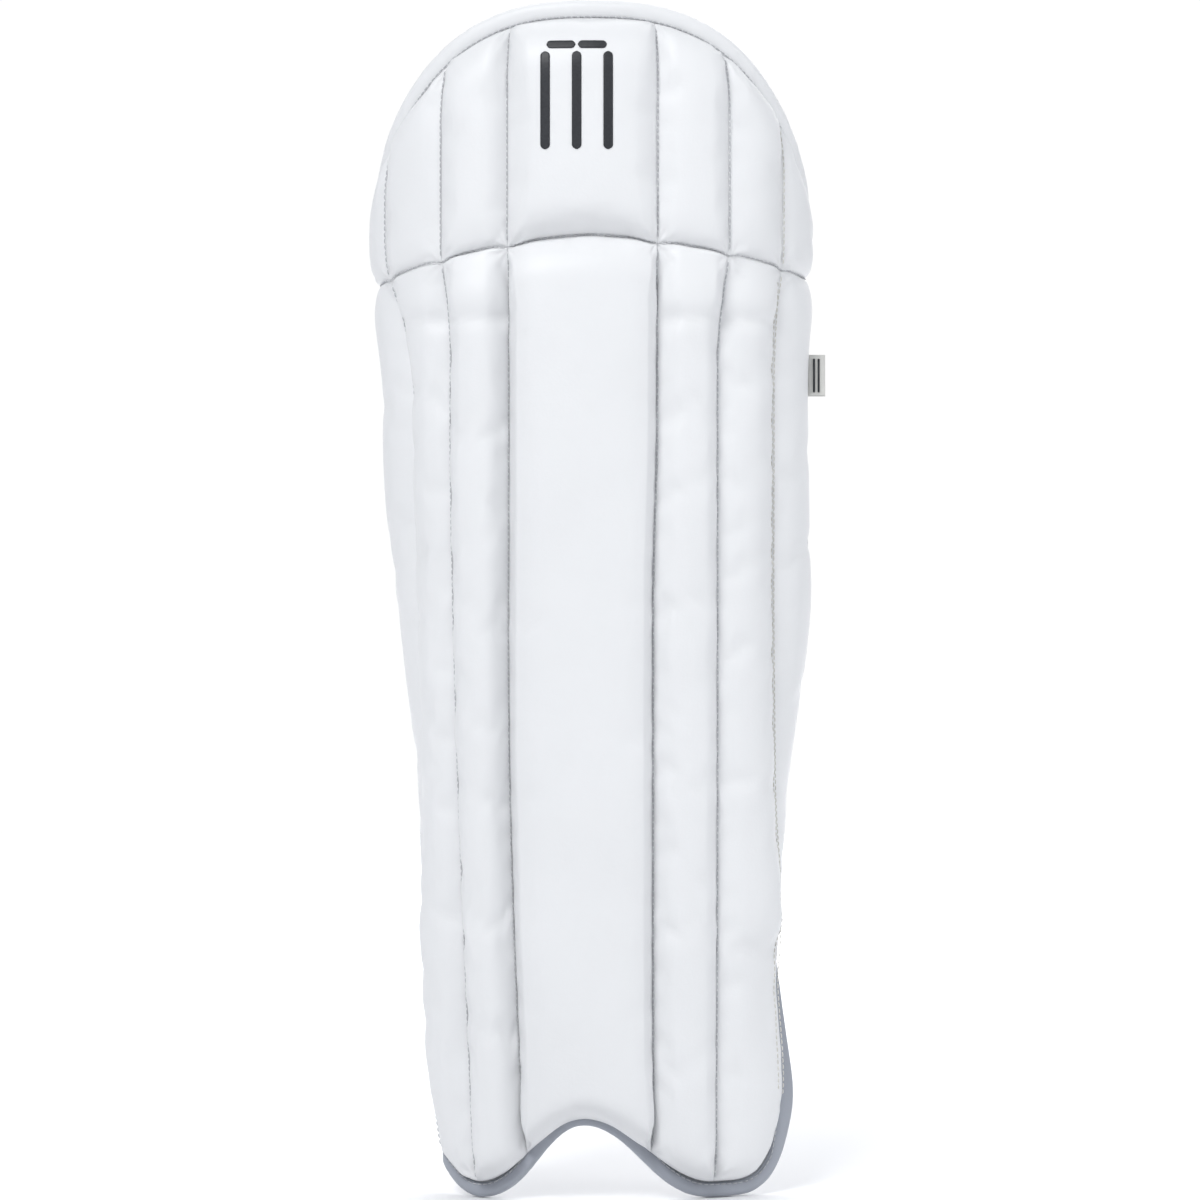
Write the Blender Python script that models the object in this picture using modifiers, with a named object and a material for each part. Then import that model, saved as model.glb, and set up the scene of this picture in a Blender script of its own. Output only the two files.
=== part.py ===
"""A wicket-keeper's leg guard: padded channels over canes, a knee flap, wings and two straps.

Design values are millimetres and are turned into metres as each mesh is made. +Z is up, the front
faces -Y, and X = Y = 0 is the axis of the wearer's leg. A place on the guard is given by its seam
number s across the guard, its height z, and its distance n in front of the backing.
"""

import math

import bmesh
import bpy
from mathutils import Vector

MM = 0.001
GAP = 0.4  # between pieces that touch

# Heights
GUARD_HEIGHT = 630.0
KNEE_SEAM_Z = 505.5
KNEE_SEAM_DIP_LEFT = 24.0  # the seam's ends are this much lower than its middle
KNEE_SEAM_DIP_RIGHT = 19.0
WING_FOOT_Z = 150.0
LOBE_Z = 6.2
INSTEP_ARCH = 36.0

# Half widths and depths of the plan
HALF_WIDTH = 116.0
FRONT_Y = -56.0
WING_DEPTH = 64.0

# Thicknesses in front of the backing (n)
SEAM_T = 2.8
SKIN = 1.2
CENTRE_T = 25.0
INNER_T = 19.0
OUTER_T = 12.5
WING_T = 11.0
FLAP_T = 27.0
FLAP_SIDE_T = 20.0
FLAP_EDGE_T = 9.0
BACKING = (0.0, SKIN)
LINING = (-1.8, -0.6)
CANE_RADIUS = 2.5
BEHIND_GAP = 1.3  # between the backing's facets and what lies on it
CANE_N = SKIN + BEHIND_GAP + CANE_RADIUS
FILLING_N = CANE_N + CANE_RADIUS + GAP

# Edge bindings
EDGE_GAP = 1.5  # clears the flat facets of the panels' curved edges
TOP_BINDING_RADIUS = 4.0
INSTEP_BINDING_RADIUS = 3.0
WING_BINDING_RADIUS = 2.6

WING_SEAM_GAP = 0.9  # the fold line between a wing and the shin

# Pads against the leg, as (low X, low Z, high X, high Z, depth, rounding)
PAD_FRONT = FRONT_Y + 2.8  # clears the lining
PADS = {
    "shin_bolster_left": (-37.0, 72.0, -5.5, 428.0, 18.0, 6.0),
    "shin_bolster_right": (-3.5, 72.0, 28.0, 428.0, 18.0, 6.0),
    "knee_bolster": (-58.0, 436.0, 52.0, 486.0, 21.0, 7.0),
    "knee_cup": (-36.0, 516.0, 30.0, 592.0, 12.0, 5.0),
}
KNEE_BOLSTER_SETBACK = 5.0  # it spans the curve of the shin, so it stands further back

# Straps
WEBBING = 2.2
CALF_STRAP_Z = 330.0
ANKLE_STRAP_Z = 232.0
STRAP_WIDTH = 38.0
TAB_RANGE = (8.36, 8.84)
ANCHOR_RANGE = (0.16, 0.64)
ANCHOR_LIFT = 0.7
PATCH_T = 1.0
TAB_LIFT = GAP + PATCH_T + 0.7
STRAP_CLEARANCE = 11.5
STRAP_BOW = 7.0

# Seam numbers
LEFT_REAR, LEFT_MID, LEFT_WING, LEFT_INNER, LEFT_CENTRE = range(5)
RIGHT_CENTRE, RIGHT_INNER, RIGHT_WING, RIGHT_MID, RIGHT_REAR = range(5, 10)

WHITE = (0.86, 0.865, 0.88)
SOFT_WHITE = (0.78, 0.79, 0.81)
FOAM = (0.92, 0.88, 0.74)
GREY = (0.37, 0.39, 0.43)
CHARCOAL = (0.035, 0.037, 0.042)
CANE = (0.72, 0.55, 0.32)
BOARD = (0.45, 0.46, 0.48)


def clamp(value):
    return max(0.0, min(1.0, value))


def ease(value):
    t = clamp(value)
    return t * t * (3 - 2 * t)


# The plan: where each seam stands at a height


def wing_depth(z):
    return WING_DEPTH * (0.5 + 0.5 * ease((z - WING_FOOT_Z) / 55))


def left_wing_x(z):
    lower = 17.5 * clamp((430 - z) / 430) ** 1.2 + 3 * ease((60 - z) / 60)
    return -94 + lower + 4.5 * ease((z - 120) / 120) - 12 * ease((z - 420) / 90)


def right_wing_x(z):
    lower = 2.5 * ease((220 - z) / 70) + 7.5 * ease((135 - z) / 100)
    return 92.5 + lower + 3.5 * ease((z - 430) / 80)


def seams(z):
    """The plan positions of the ten seams and edges at a height, from the left rear to the right rear."""
    left = left_wing_x(z)
    right = right_wing_x(z)
    left_mid = left - 11 + 16 * ease((450 - z) / 260) + 2.5 * ease((z - 440) / 60)
    left_mid -= 4.5 * ease((450 - z) / 90) * ease((z - 190) / 90)
    right_mid = right + 14 - 19.5 * ease((330 - z) / 160) + 3 * ease((z - 440) / 60)
    right_mid += 3 * ease((430 - z) / 150) * ease((z - WING_FOOT_Z) / 60)
    right_mid += 17 * ease((WING_FOOT_Z - z) / 45)
    depth = wing_depth(z)
    return [
        Vector((left_mid + 17, FRONT_Y + 32 + depth)),
        Vector((left_mid, FRONT_Y + 32 + 0.5 * depth)),
        Vector((left, FRONT_Y + 32)),
        Vector((-70 + 13 * clamp((400 - z) / 400) ** 1.4 - 3.5 * ease((z - 440) / 60), FRONT_Y + 8)),
        Vector((-41 + 10.3 * clamp((300 - z) / 300) ** 1.9, FRONT_Y)),
        Vector((31.5 + 2 * ease((z - 310) / 100), FRONT_Y)),
        Vector((64 + 4.5 * ease((z - 440) / 60), FRONT_Y + 7.5)),
        Vector((right, FRONT_Y + 30)),
        Vector((right_mid, FRONT_Y + 30 + 0.5 * depth)),
        Vector((right_mid - 17, FRONT_Y + 30 + depth)),
    ]


def tangents(points):
    """Tangents of a smooth curve through the points, per unit of length."""
    steps = [b - a for a, b in zip(points, points[1:])]
    lengths = [step.length for step in steps]
    inner = [
        (steps[k] / lengths[k] * lengths[k - 1] + steps[k - 1] / lengths[k - 1] * lengths[k])
        / (lengths[k] + lengths[k - 1])
        for k in range(1, len(steps))
    ]
    first = 1.5 * steps[0] / lengths[0] - 0.5 * inner[0]
    last = 1.5 * steps[-1] / lengths[-1] - 0.5 * inner[-1]
    return [first, *inner, last]


def flow(points, position):
    """The point and the direction at a position along the smooth curve through the points."""
    slopes = tangents(points)
    k = min(int(position), len(points) - 2)
    t = position - k
    a, b = points[k], points[k + 1]
    chord = (b - a).length
    m, w = slopes[k] * chord, slopes[k + 1] * chord
    point = (
        (2 * t**3 - 3 * t**2 + 1) * a
        + (t**3 - 2 * t**2 + t) * m
        + (3 * t**2 - 2 * t**3) * b
        + (t**3 - t**2) * w
    )
    along = (
        (6 * t**2 - 6 * t) * (a - b)
        + (3 * t**2 - 4 * t + 1) * m
        + (3 * t**2 - 2 * t) * w
    )
    return point, along.normalized()


def plan(s, z):
    """The backing's plan point and its outward normal at seam number s and height z."""
    point, along = flow(seams(z), s)
    return point, Vector((along.y, -along.x))


def place(s, z, n):
    """The point n in front of the backing, in millimetres."""
    point, normal = plan(s, z)
    spot = point + normal * n
    return Vector((spot.x, spot.y, z))


# The outline: top and bottom edges over the plan


def knee_seam(s):
    x = plan(s, KNEE_SEAM_Z)[0].x
    dip = KNEE_SEAM_DIP_LEFT if x < 0 else KNEE_SEAM_DIP_RIGHT
    return KNEE_SEAM_Z - dip * (abs(x) / HALF_WIDTH) ** 1.6


def dome(s):
    """The flap's top edge, under its binding. It falls away where the flap turns to the rear."""
    foot = KNEE_SEAM_Z
    rise = GUARD_HEIGHT - 2 * TOP_BINDING_RADIUS - EDGE_GAP - foot
    x = plan(s, foot + 0.6 * rise)[0].x
    beyond = max(LEFT_WING - s, s - RIGHT_WING, 0)
    return foot + rise * (1 - min(abs(x - 1) / HALF_WIDTH, 1) ** 2.7) ** 0.64 - 10 * beyond**2


def instep(s):
    """The shin's lower edge: an arch over the foot between two lobes, with rounded outer corners."""
    x = plan(s, LOBE_Z)[0].x
    left_lobe, right_lobe = -57.5, 63.0
    if x < left_lobe:
        return LOBE_Z + 24 * ((left_lobe - x) / 21.5) ** 2
    if x > right_lobe:
        return LOBE_Z + 17 * ((x - right_lobe) / 33) ** 5
    crown = -2.0
    reach = (crown - left_lobe) if x < crown else (right_lobe - crown)
    return LOBE_Z + INSTEP_ARCH * (0.5 + 0.5 * math.cos(math.pi * (x - crown) / reach))


def wing_foot(s):
    """A wing's lower edge, which rises towards the rear."""
    beyond = s - RIGHT_WING if s >= RIGHT_WING else LEFT_WING - s
    return WING_FOOT_Z + 7 * beyond**2


def roll(distance, reach):
    """How far a stuffed panel has risen at a distance from its seam, from 0 to 1."""
    left = 1 - clamp(distance / reach)
    return (1 - left**1.6) ** (1 / 1.6)


class Panel:
    """One stuffed panel between two seams, with its bulge."""

    def __init__(self, low_s, high_s, foot, head, thickness, side_roll, end_roll=(26.0, 26.0)):
        self.low_s = low_s
        self.high_s = high_s
        self.foot = foot
        self.head = head
        self.thickness = thickness
        self.side_roll = side_roll
        self.end_roll = end_roll
        middle = 0.5 * (foot(low_s) + head(low_s))
        self.width = sum(
            (plan(low_s + (high_s - low_s) * (k + 1) / 8, middle)[0]
             - plan(low_s + (high_s - low_s) * k / 8, middle)[0]).length
            for k in range(8)
        )

    def bulge(self, s, z):
        u = (s - self.low_s) / (self.high_s - self.low_s)
        side = self.width * min(u, 1 - u)
        ends = roll(z - self.foot(s), self.end_roll[0]) * roll(self.head(s) - z, self.end_roll[1])
        return SEAM_T + (self.thickness - SEAM_T) * roll(side, self.side_roll) * ends


# Mesh helpers


def material(name, colour, roughness, metallic=0.0):
    made = bpy.data.materials.get(name)
    if made is None:
        made = bpy.data.materials.new(name)
        made.use_nodes = True
        shader = made.node_tree.nodes["Principled BSDF"]
        shader.inputs["Base Color"].default_value = (*colour, 1.0)
        shader.inputs["Roughness"].default_value = roughness
        shader.inputs["Metallic"].default_value = metallic
    return made


def add(name, data, finish, parts, smooth=True):
    thing = bpy.data.objects.new(name, data)
    data.materials.append(finish)
    parts.objects.link(thing)
    if smooth and hasattr(data, "polygons"):
        for face in data.polygons:
            face.use_smooth = True
    return thing


def flat_grid(columns, rows):
    """A flat grid whose corners stand at whole numbers: column i along X, row j along Y."""
    shape = bmesh.new()
    bmesh.ops.create_grid(shape, x_segments=columns - 1, y_segments=rows - 1, size=0.5)
    for corner in shape.verts:
        corner.co.x = round((corner.co.x + 0.5) * (columns - 1))
        corner.co.y = round((corner.co.y + 0.5) * (rows - 1))
    return shape


def slab(name, columns, rows, height, low, high, finish, parts, gone=()):
    """A closed solid over a grid of seam numbers and rows.

    height(s, row) is a grid corner's z, low and high give the two faces' n, and gone lists the
    grid cells that are left out, as (column, row).
    """
    shape = flat_grid(len(columns), len(rows))
    unused = [
        face for face in shape.faces
        if tuple(int(value) for value in face.calc_center_median()[:2]) in gone
    ]
    bmesh.ops.delete(shape, geom=unused, context="FACES")
    backs = shape.verts[:]
    raised = bmesh.ops.extrude_face_region(shape, geom=shape.faces[:], use_keep_orig=True)
    fronts = [item for item in raised["geom"] if isinstance(item, bmesh.types.BMVert)]
    for corners, depth in ((backs, low), (fronts, high)):
        for corner in corners:
            s = columns[int(corner.co.x)]
            z = height(s, rows[int(corner.co.y)])
            corner.co = place(s, z, depth(s, z)) * MM
    bmesh.ops.recalc_face_normals(shape, faces=shape.faces[:])
    data = bpy.data.meshes.new(name)
    shape.to_mesh(data)
    shape.free()
    return add(name, data, finish, parts)


def spread(low, high, shares):
    return [low + (high - low) * share for share in shares]


def between(foot, head, near_foot, shares, near_head):
    """Row heights at s: distances above the foot, shares of the middle, distances below the head."""

    def height(s, row):
        kind, value = row
        if kind == "foot":
            return foot(s) + value
        if kind == "head":
            return head(s) - value
        start = foot(s) + near_foot[-1]
        return start + (head(s) - near_head[0] - start) * value

    rows = [("foot", value) for value in near_foot]
    rows += [("share", value) for value in shares]
    rows += [("head", value) for value in near_head]
    return rows, height


def rod(name, points, radius, finish, parts):
    """A round cord, cane or binding along the points, in millimetres."""
    data = bpy.data.curves.new(name, "CURVE")
    data.dimensions = "3D"
    data.bevel_depth = radius * MM
    data.bevel_resolution = 2
    data.render_resolution_u = 0
    data.use_fill_caps = True
    line = data.splines.new("POLY")
    line.points.add(len(points) - 1)
    for target, point in zip(line.points, points):
        target.co = (*(point * MM), 1.0)
    return add(name, data, finish, parts)


def rim(route, n, outward):
    """Points beside a route of (s, z) places on the guard, moved outward from its edge."""
    spots = [place(s, z, n) for s, z in route]
    moved = []
    for k, spot in enumerate(spots):
        before, after = spots[max(k - 1, 0)], spots[min(k + 1, len(spots) - 1)]
        normal = plan(*route[k])[1]
        side = (after - before).cross(Vector((normal.x, normal.y, 0))).normalized()
        mitre = 1.0
        if 0 < k < len(spots) - 1:
            turn = (spot - before).normalized().dot((after - spot).normalized())
            mitre = math.sqrt(2 / (1 + turn))
        moved.append(spot + side * outward * mitre)
    return moved


def block(name, low, high, rounding, finish, parts):
    """A box between two corners in millimetres, with rounded edges."""
    shape = bmesh.new()
    bmesh.ops.create_cube(shape, size=1.0)
    size = Vector(high) - Vector(low)
    bmesh.ops.scale(shape, vec=size * MM, verts=shape.verts[:])
    bmesh.ops.translate(shape, vec=(Vector(low) + Vector(high)) * 0.5 * MM, verts=shape.verts[:])
    data = bpy.data.meshes.new(name)
    shape.to_mesh(data)
    shape.free()
    thing = add(name, data, finish, parts)
    soften = thing.modifiers.new("rounding", "BEVEL")
    soften.width = rounding * MM
    soften.segments = 3
    return thing


def ribbon(name, path, heights, finish, parts):
    """Webbing on edge: path(z) gives its plan points at each of the heights."""
    rows = [path(z) for z in heights]
    shape = flat_grid(len(rows[0]), len(heights))
    for corner in shape.verts:
        row = int(corner.co.y)
        corner.co = Vector((*rows[row][int(corner.co.x)], heights[row])) * MM
    data = bpy.data.meshes.new(name)
    shape.to_mesh(data)
    shape.free()
    thing = add(name, data, finish, parts)
    thicken = thing.modifiers.new("thickness", "SOLIDIFY")
    thicken.thickness = WEBBING * MM
    thicken.offset = 0.0
    thicken.use_even_offset = True
    return thing


# The guard's pieces

COVER_SHARES = [0.0, 0.06, 0.17, 0.33, 0.5, 0.67, 0.83, 0.94, 1.0]
FILLING_SHARES = COVER_SHARES[2:-2]
NEAR = [0.0, 3.0, 9.0, 19.0]
MIDDLE = [0.08, 0.17, 0.27, 0.45, 0.65, 0.83]


def inset(panel, shares, gap=0.5 * GAP):
    """Seam numbers across a panel, kept a gap inside its seams."""
    edge = gap / panel.width * (panel.high_s - panel.low_s)
    return spread(panel.low_s + edge, panel.high_s - edge, shares)


def padded(name, panel, finishes, parts, filling_n, near=NEAR, middle=MIDDLE):
    """A panel's cover and, behind it, its filling, which starts at filling_n."""
    foot_rows = [value + 0.5 * GAP for value in near]
    head_rows = foot_rows[::-1]
    rows, height = between(panel.foot, panel.head, foot_rows, middle, head_rows)
    slab(
        name + "_cover", inset(panel, COVER_SHARES), rows, height,
        lambda s, z: panel.bulge(s, z) - SKIN, panel.bulge, finishes["cover"], parts,
    )
    last = len(near) - 1
    slab(
        name + "_filling", inset(panel, FILLING_SHARES), rows[last:-last], height,
        lambda s, z: filling_n, lambda s, z: panel.bulge(s, z) - SKIN - GAP, finishes["foam"], parts,
    )


def shin_panels():
    return {
        "left_outer": Panel(LEFT_WING, LEFT_INNER, instep, knee_seam, OUTER_T, 18),
        "left_inner": Panel(LEFT_INNER, LEFT_CENTRE, instep, knee_seam, INNER_T, 15),
        "centre": Panel(LEFT_CENTRE, RIGHT_CENTRE, instep, knee_seam, CENTRE_T, 14),
        "right_inner": Panel(RIGHT_CENTRE, RIGHT_INNER, instep, knee_seam, INNER_T, 15),
        "right_outer": Panel(RIGHT_INNER, RIGHT_WING, instep, knee_seam, OUTER_T, 20),
    }


def flap_panels():
    return {
        "flap_left_outer": Panel(LEFT_WING, LEFT_INNER, knee_seam, dome, FLAP_SIDE_T - 3, 15),
        "flap_left_inner": Panel(LEFT_INNER, LEFT_CENTRE, knee_seam, dome, FLAP_SIDE_T, 18),
        "flap_centre": Panel(LEFT_CENTRE, RIGHT_CENTRE, knee_seam, dome, FLAP_T, 26),
        "flap_right_inner": Panel(RIGHT_CENTRE, RIGHT_INNER, knee_seam, dome, FLAP_SIDE_T, 18),
        "flap_right_outer": Panel(RIGHT_INNER, RIGHT_WING, knee_seam, dome, FLAP_SIDE_T - 3, 15),
    }


def wing_panels():
    return {
        "left_wing": Panel(LEFT_REAR, LEFT_MID + 1, wing_foot, knee_seam, WING_T, 20),
        "right_wing": Panel(RIGHT_WING, RIGHT_REAR, wing_foot, knee_seam, WING_T, 20),
    }


SHEET_SHARES = (0.0, 0.08, 0.16, 0.24, 0.34, 0.5, 0.66, 0.8, 0.87, 0.94, 1.0)


def sheet(name, columns, foot, head, layer, finish, parts, shares=SHEET_SHARES):
    """A skin of one thickness over several panels."""
    rows, height = between(foot, head, [GAP / 2], shares[1:-1], [GAP / 2])
    slab(
        name, columns, rows, height, lambda s, z: layer[0], lambda s, z: layer[1], finish, parts
    )


def halves(first, last, steps=2):
    return [first + k / steps for k in range(int((last - first) * steps) + 1)]


def build_shin(parts, finishes):
    canes = {"centre": 3, "left_inner": 1, "right_inner": 1}
    for name, panel in shin_panels().items():
        count = canes.get(name, 0)
        padded(name, panel, finishes, parts, FILLING_N if count else SKIN + BEHIND_GAP)
        for k in range(count):
            s = spread(panel.low_s, panel.high_s, [(k + 1) / (count + 1)])[0]
            low, high = panel.foot(s) + 24, panel.head(s) - 24
            heights = spread(low, high, [0, 0.2, 0.4, 0.6, 0.8, 1])
            suffix = "_cane" if count == 1 else f"_cane_{k + 1}"
            rod(
                name + suffix, [place(s, z, CANE_N) for z in heights],
                CANE_RADIUS, finishes["cane"], parts,
            )
    columns = halves(LEFT_WING, RIGHT_WING, 4)
    columns[0] += 0.01
    columns[-1] -= 0.01
    sheet("shin_backing", columns, instep, knee_seam, BACKING, finishes["board"], parts)
    sheet("shin_lining", columns, instep, knee_seam, LINING, finishes["lining"], parts)


def build_pads(parts, finishes):
    for name, (low_x, low_z, high_x, high_z, depth, rounding) in PADS.items():
        front = PAD_FRONT + (KNEE_BOLSTER_SETBACK if name == "knee_bolster" else 0)
        rear = PAD_FRONT + depth
        block(name, (low_x, front, low_z), (high_x, rear, high_z), rounding, finishes["towel"], parts)


def build_instep_binding(parts, finishes):
    heights = (138, 120, 95, 72)
    down = [(RIGHT_WING, z) for z in heights]
    across = [(s, instep(s)) for s in halves(LEFT_WING, RIGHT_WING, 12)[::-1]]
    up = [(LEFT_WING, z) for z in heights[::-1]]
    spots = rim(down + across + up, 0.5, -(INSTEP_BINDING_RADIUS + EDGE_GAP))
    rod("instep_binding", spots, INSTEP_BINDING_RADIUS, finishes["grey"], parts)


def build_wing(side, parts, finishes):
    panel = wing_panels()[side + "_wing"]
    columns = inset(panel, COVER_SHARES, WING_SEAM_GAP)
    rows, height = between(panel.foot, panel.head, [1.2, 6, 14], (0.15, 0.35, 0.55, 0.8), [14, 6, 1.2])
    slab(
        f"{side}_wing_cover", columns, rows, height,
        lambda s, z: panel.bulge(s, z) - SKIN, panel.bulge, finishes["cover"], parts,
    )
    slab(
        f"{side}_wing_foam", columns[2:-2], rows[2:-2], height,
        lambda s, z: SKIN + GAP, lambda s, z: panel.bulge(s, z) - SKIN - GAP, finishes["foam"], parts,
    )
    slab(
        f"{side}_wing_lining", columns, rows, height,
        lambda s, z: -0.6, lambda s, z: SKIN, finishes["lining"], parts,
    )
    rear = LEFT_REAR if side == "left" else RIGHT_REAR
    seam = LEFT_WING if side == "left" else RIGHT_WING
    turn = -1 if side == "left" else 1
    down = [(rear, z) for z in (480, 440, 400, 360, 320, 280, 240, 215, 200, 188)]
    across = spread(rear, seam, (0, 0.15, 0.3, 0.45, 0.6, 0.75, 0.92))
    foot = [(s, wing_foot(s)) for s in across]
    spots = rim(down + foot, 0.5, -turn * (WING_BINDING_RADIUS + EDGE_GAP))
    rod(f"{side}_wing_binding", spots, WING_BINDING_RADIUS, finishes["cover"], parts)
    return panel


def on_wing(panel, lift):
    """A function of s and z that gives the n of a place this far above a wing's cover."""
    return lambda s, z: panel.bulge(s, z) + lift


def patch(name, panel, seam_range, middle, lift, thickness, width, finish, parts):
    """A flat piece of webbing or hook-and-loop tape that lies on a wing."""
    rows = spread(middle - width / 2, middle + width / 2, [0, 0.5, 1])
    slab(
        name, spread(*seam_range, [0, 0.25, 0.5, 0.75, 1]), rows, lambda s, row: row,
        on_wing(panel, lift), on_wing(panel, lift + thickness), finish, parts,
    )


def strap_path(panels, z):
    """The plan route of a strap from the end of its anchor, behind the leg, to the start of its tab."""
    left, right = panels
    start = place(ANCHOR_RANGE[0], z, left.bulge(ANCHOR_RANGE[0], z) + ANCHOR_LIFT + WEBBING / 2)
    end = place(TAB_RANGE[1], z, right.bulge(TAB_RANGE[1], z) + TAB_LIFT + WEBBING / 2)
    corners = []
    for s, beside in ((LEFT_REAR, LEFT_REAR + 0.02), (RIGHT_REAR, RIGHT_REAR - 0.02)):
        edge, normal = plan(s, z)
        rearward = (edge - plan(beside, z)[0]).normalized()
        corners.append(edge + rearward * STRAP_CLEARANCE + normal * 1.5)
    middle = (corners[0] + corners[1]) / 2 + Vector((0, STRAP_BOW))
    stops = [start.xy, corners[0], middle, corners[1], end.xy]
    near_start = [0.08, 0.25, 0.5, 0.75, 1, 1.15, 1.4, 1.7]
    positions = near_start + [2] + [4 - position for position in near_start[::-1]]
    return [flow(stops, position)[0] for position in positions]


def build_straps(parts, finishes, panels):
    left, right = panels
    for name, middle in (("calf", CALF_STRAP_Z), ("ankle", ANKLE_STRAP_Z)):
        heights = spread(middle - STRAP_WIDTH / 2, middle + STRAP_WIDTH / 2, [0, 0.5, 1])
        ribbon(name + "_strap", lambda z: strap_path(panels, z), heights, finishes["webbing"], parts)
        patch(
            name + "_anchor", left, ANCHOR_RANGE, middle, ANCHOR_LIFT, WEBBING, STRAP_WIDTH,
            finishes["webbing"], parts,
        )
        patch(
            name + "_loop_patch", right, TAB_RANGE, middle, GAP, PATCH_T, STRAP_WIDTH + 6,
            finishes["webbing"], parts,
        )
        patch(
            name + "_tab", right, TAB_RANGE, middle, TAB_LIFT, WEBBING, STRAP_WIDTH,
            finishes["webbing"], parts,
        )


def build_label(parts, finishes, wing):
    """The folded woven label that stands out from the outer wing."""
    s, low_z, high_z = RIGHT_MID, 424.5, 447.0
    fold, thickness = 9.6, 1.2
    root = place(s, high_z, wing.bulge(s, high_z) + 1.6)
    block(
        "side_label", (root.x, root.y - thickness / 2, low_z),
        (root.x + fold, root.y + thickness / 2, high_z), 0.3, finishes["webbing"], parts,
    )


def build_emblem(parts, finishes, panel):
    """Three stumps under a bar of bails, as one thin plate on the flap's centre panel."""
    left_x, stump, pitch = -23.5, 5.0, 14.5
    low_z, bail_z, high_z = 549.0, 600.0, 606.0
    width = panel.width
    edges = [left_x + k * pitch + step for k in range(3) for step in (0.0, stump)]
    seam_x = plan(panel.low_s, bail_z)[0].x
    columns = [panel.low_s + (x - seam_x) / width for x in edges]
    rows = spread(low_z, bail_z, [0, 0.33, 0.67, 1]) + [high_z]
    gone = [(column, row) for column in (1, 3) for row in range(len(rows) - 2)]
    slab(
        "emblem", columns, rows, lambda s, row: row,
        on_wing(panel, 0.8), on_wing(panel, 1.4), finishes["charcoal"], parts, gone,
    )


def build_flap(parts, finishes):
    near = [0.4, 3.0, 8.0, 16.0]
    for name, panel in flap_panels().items():
        padded(name, panel, finishes, parts, SKIN + BEHIND_GAP, near, [0.33, 0.66])
    for side, low, high in (("left", LEFT_MID, LEFT_WING), ("right", RIGHT_WING, RIGHT_MID)):
        panel = Panel(low, high, knee_seam, dome, FLAP_EDGE_T, 12)
        rows, height = between(panel.foot, panel.head, [0.6, 4, 10], (0.5,), [10, 4, 0.2])
        slab(
            f"flap_{side}_edge_cover", inset(panel, COVER_SHARES), rows, height,
            lambda s, z: SKIN + 2 * GAP, panel.bulge, finishes["cover"], parts,
        )
    columns = halves(LEFT_MID, RIGHT_MID, 4)
    shares = (0.0, 0.25, 0.5, 0.75, 1.0)
    sheet("flap_backing", columns, knee_seam, dome, BACKING, finishes["board"], parts, shares)
    sheet("flap_lining", columns, knee_seam, dome, LINING, finishes["lining"], parts, shares)
    heights = (488, 497, 506, 514)
    rise = [(LEFT_MID, z) for z in heights]
    over = [(s, dome(s)) for s in halves(LEFT_MID, RIGHT_MID, 8)]
    fall = [(RIGHT_MID, z) for z in heights[::-1]]
    spots = rim(rise + over + fall, 1.0, -(TOP_BINDING_RADIUS + EDGE_GAP))
    rod("flap_binding", spots, TOP_BINDING_RADIUS, finishes["cover"], parts)


def build_all():
    for thing in list(bpy.data.objects):
        bpy.data.objects.remove(thing, do_unlink=True)
    parts = bpy.data.collections.new("cricket_leg_pad")
    bpy.context.scene.collection.children.link(parts)
    finishes = {
        "cover": material("cover", WHITE, 0.5),
        "lining": material("lining", SOFT_WHITE, 0.85),
        "towel": material("towel", SOFT_WHITE, 0.95),
        "foam": material("foam", FOAM, 0.9),
        "board": material("board", BOARD, 0.7),
        "cane": material("cane", CANE, 0.6),
        "grey": material("grey", GREY, 0.55),
        "charcoal": material("charcoal", CHARCOAL, 0.5),
        "webbing": material("webbing", WHITE, 0.8),
    }
    build_shin(parts, finishes)
    build_pads(parts, finishes)
    build_instep_binding(parts, finishes)
    panels = [build_wing(side, parts, finishes) for side in ("left", "right")]
    build_straps(parts, finishes, panels)
    build_label(parts, finishes, panels[1])
    build_flap(parts, finishes)
    build_emblem(parts, finishes, flap_panels()["flap_centre"])


build_all()
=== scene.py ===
"""The looks of a wicket-keeper's leg guard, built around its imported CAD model.

The guard's plan is worked out in millimetres and turned into metres as each mesh is made. A place on
the guard is given by its seam number s across the guard, its height z, and its distance n in front of
the backing. +Z is up, the front faces -Y, and X = Y = 0 is the axis of the wearer's leg.
"""

import functools
import math

import bmesh
import bpy
import numpy as np
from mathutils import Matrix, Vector, noise
from mathutils.bvhtree import BVHTree


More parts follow.
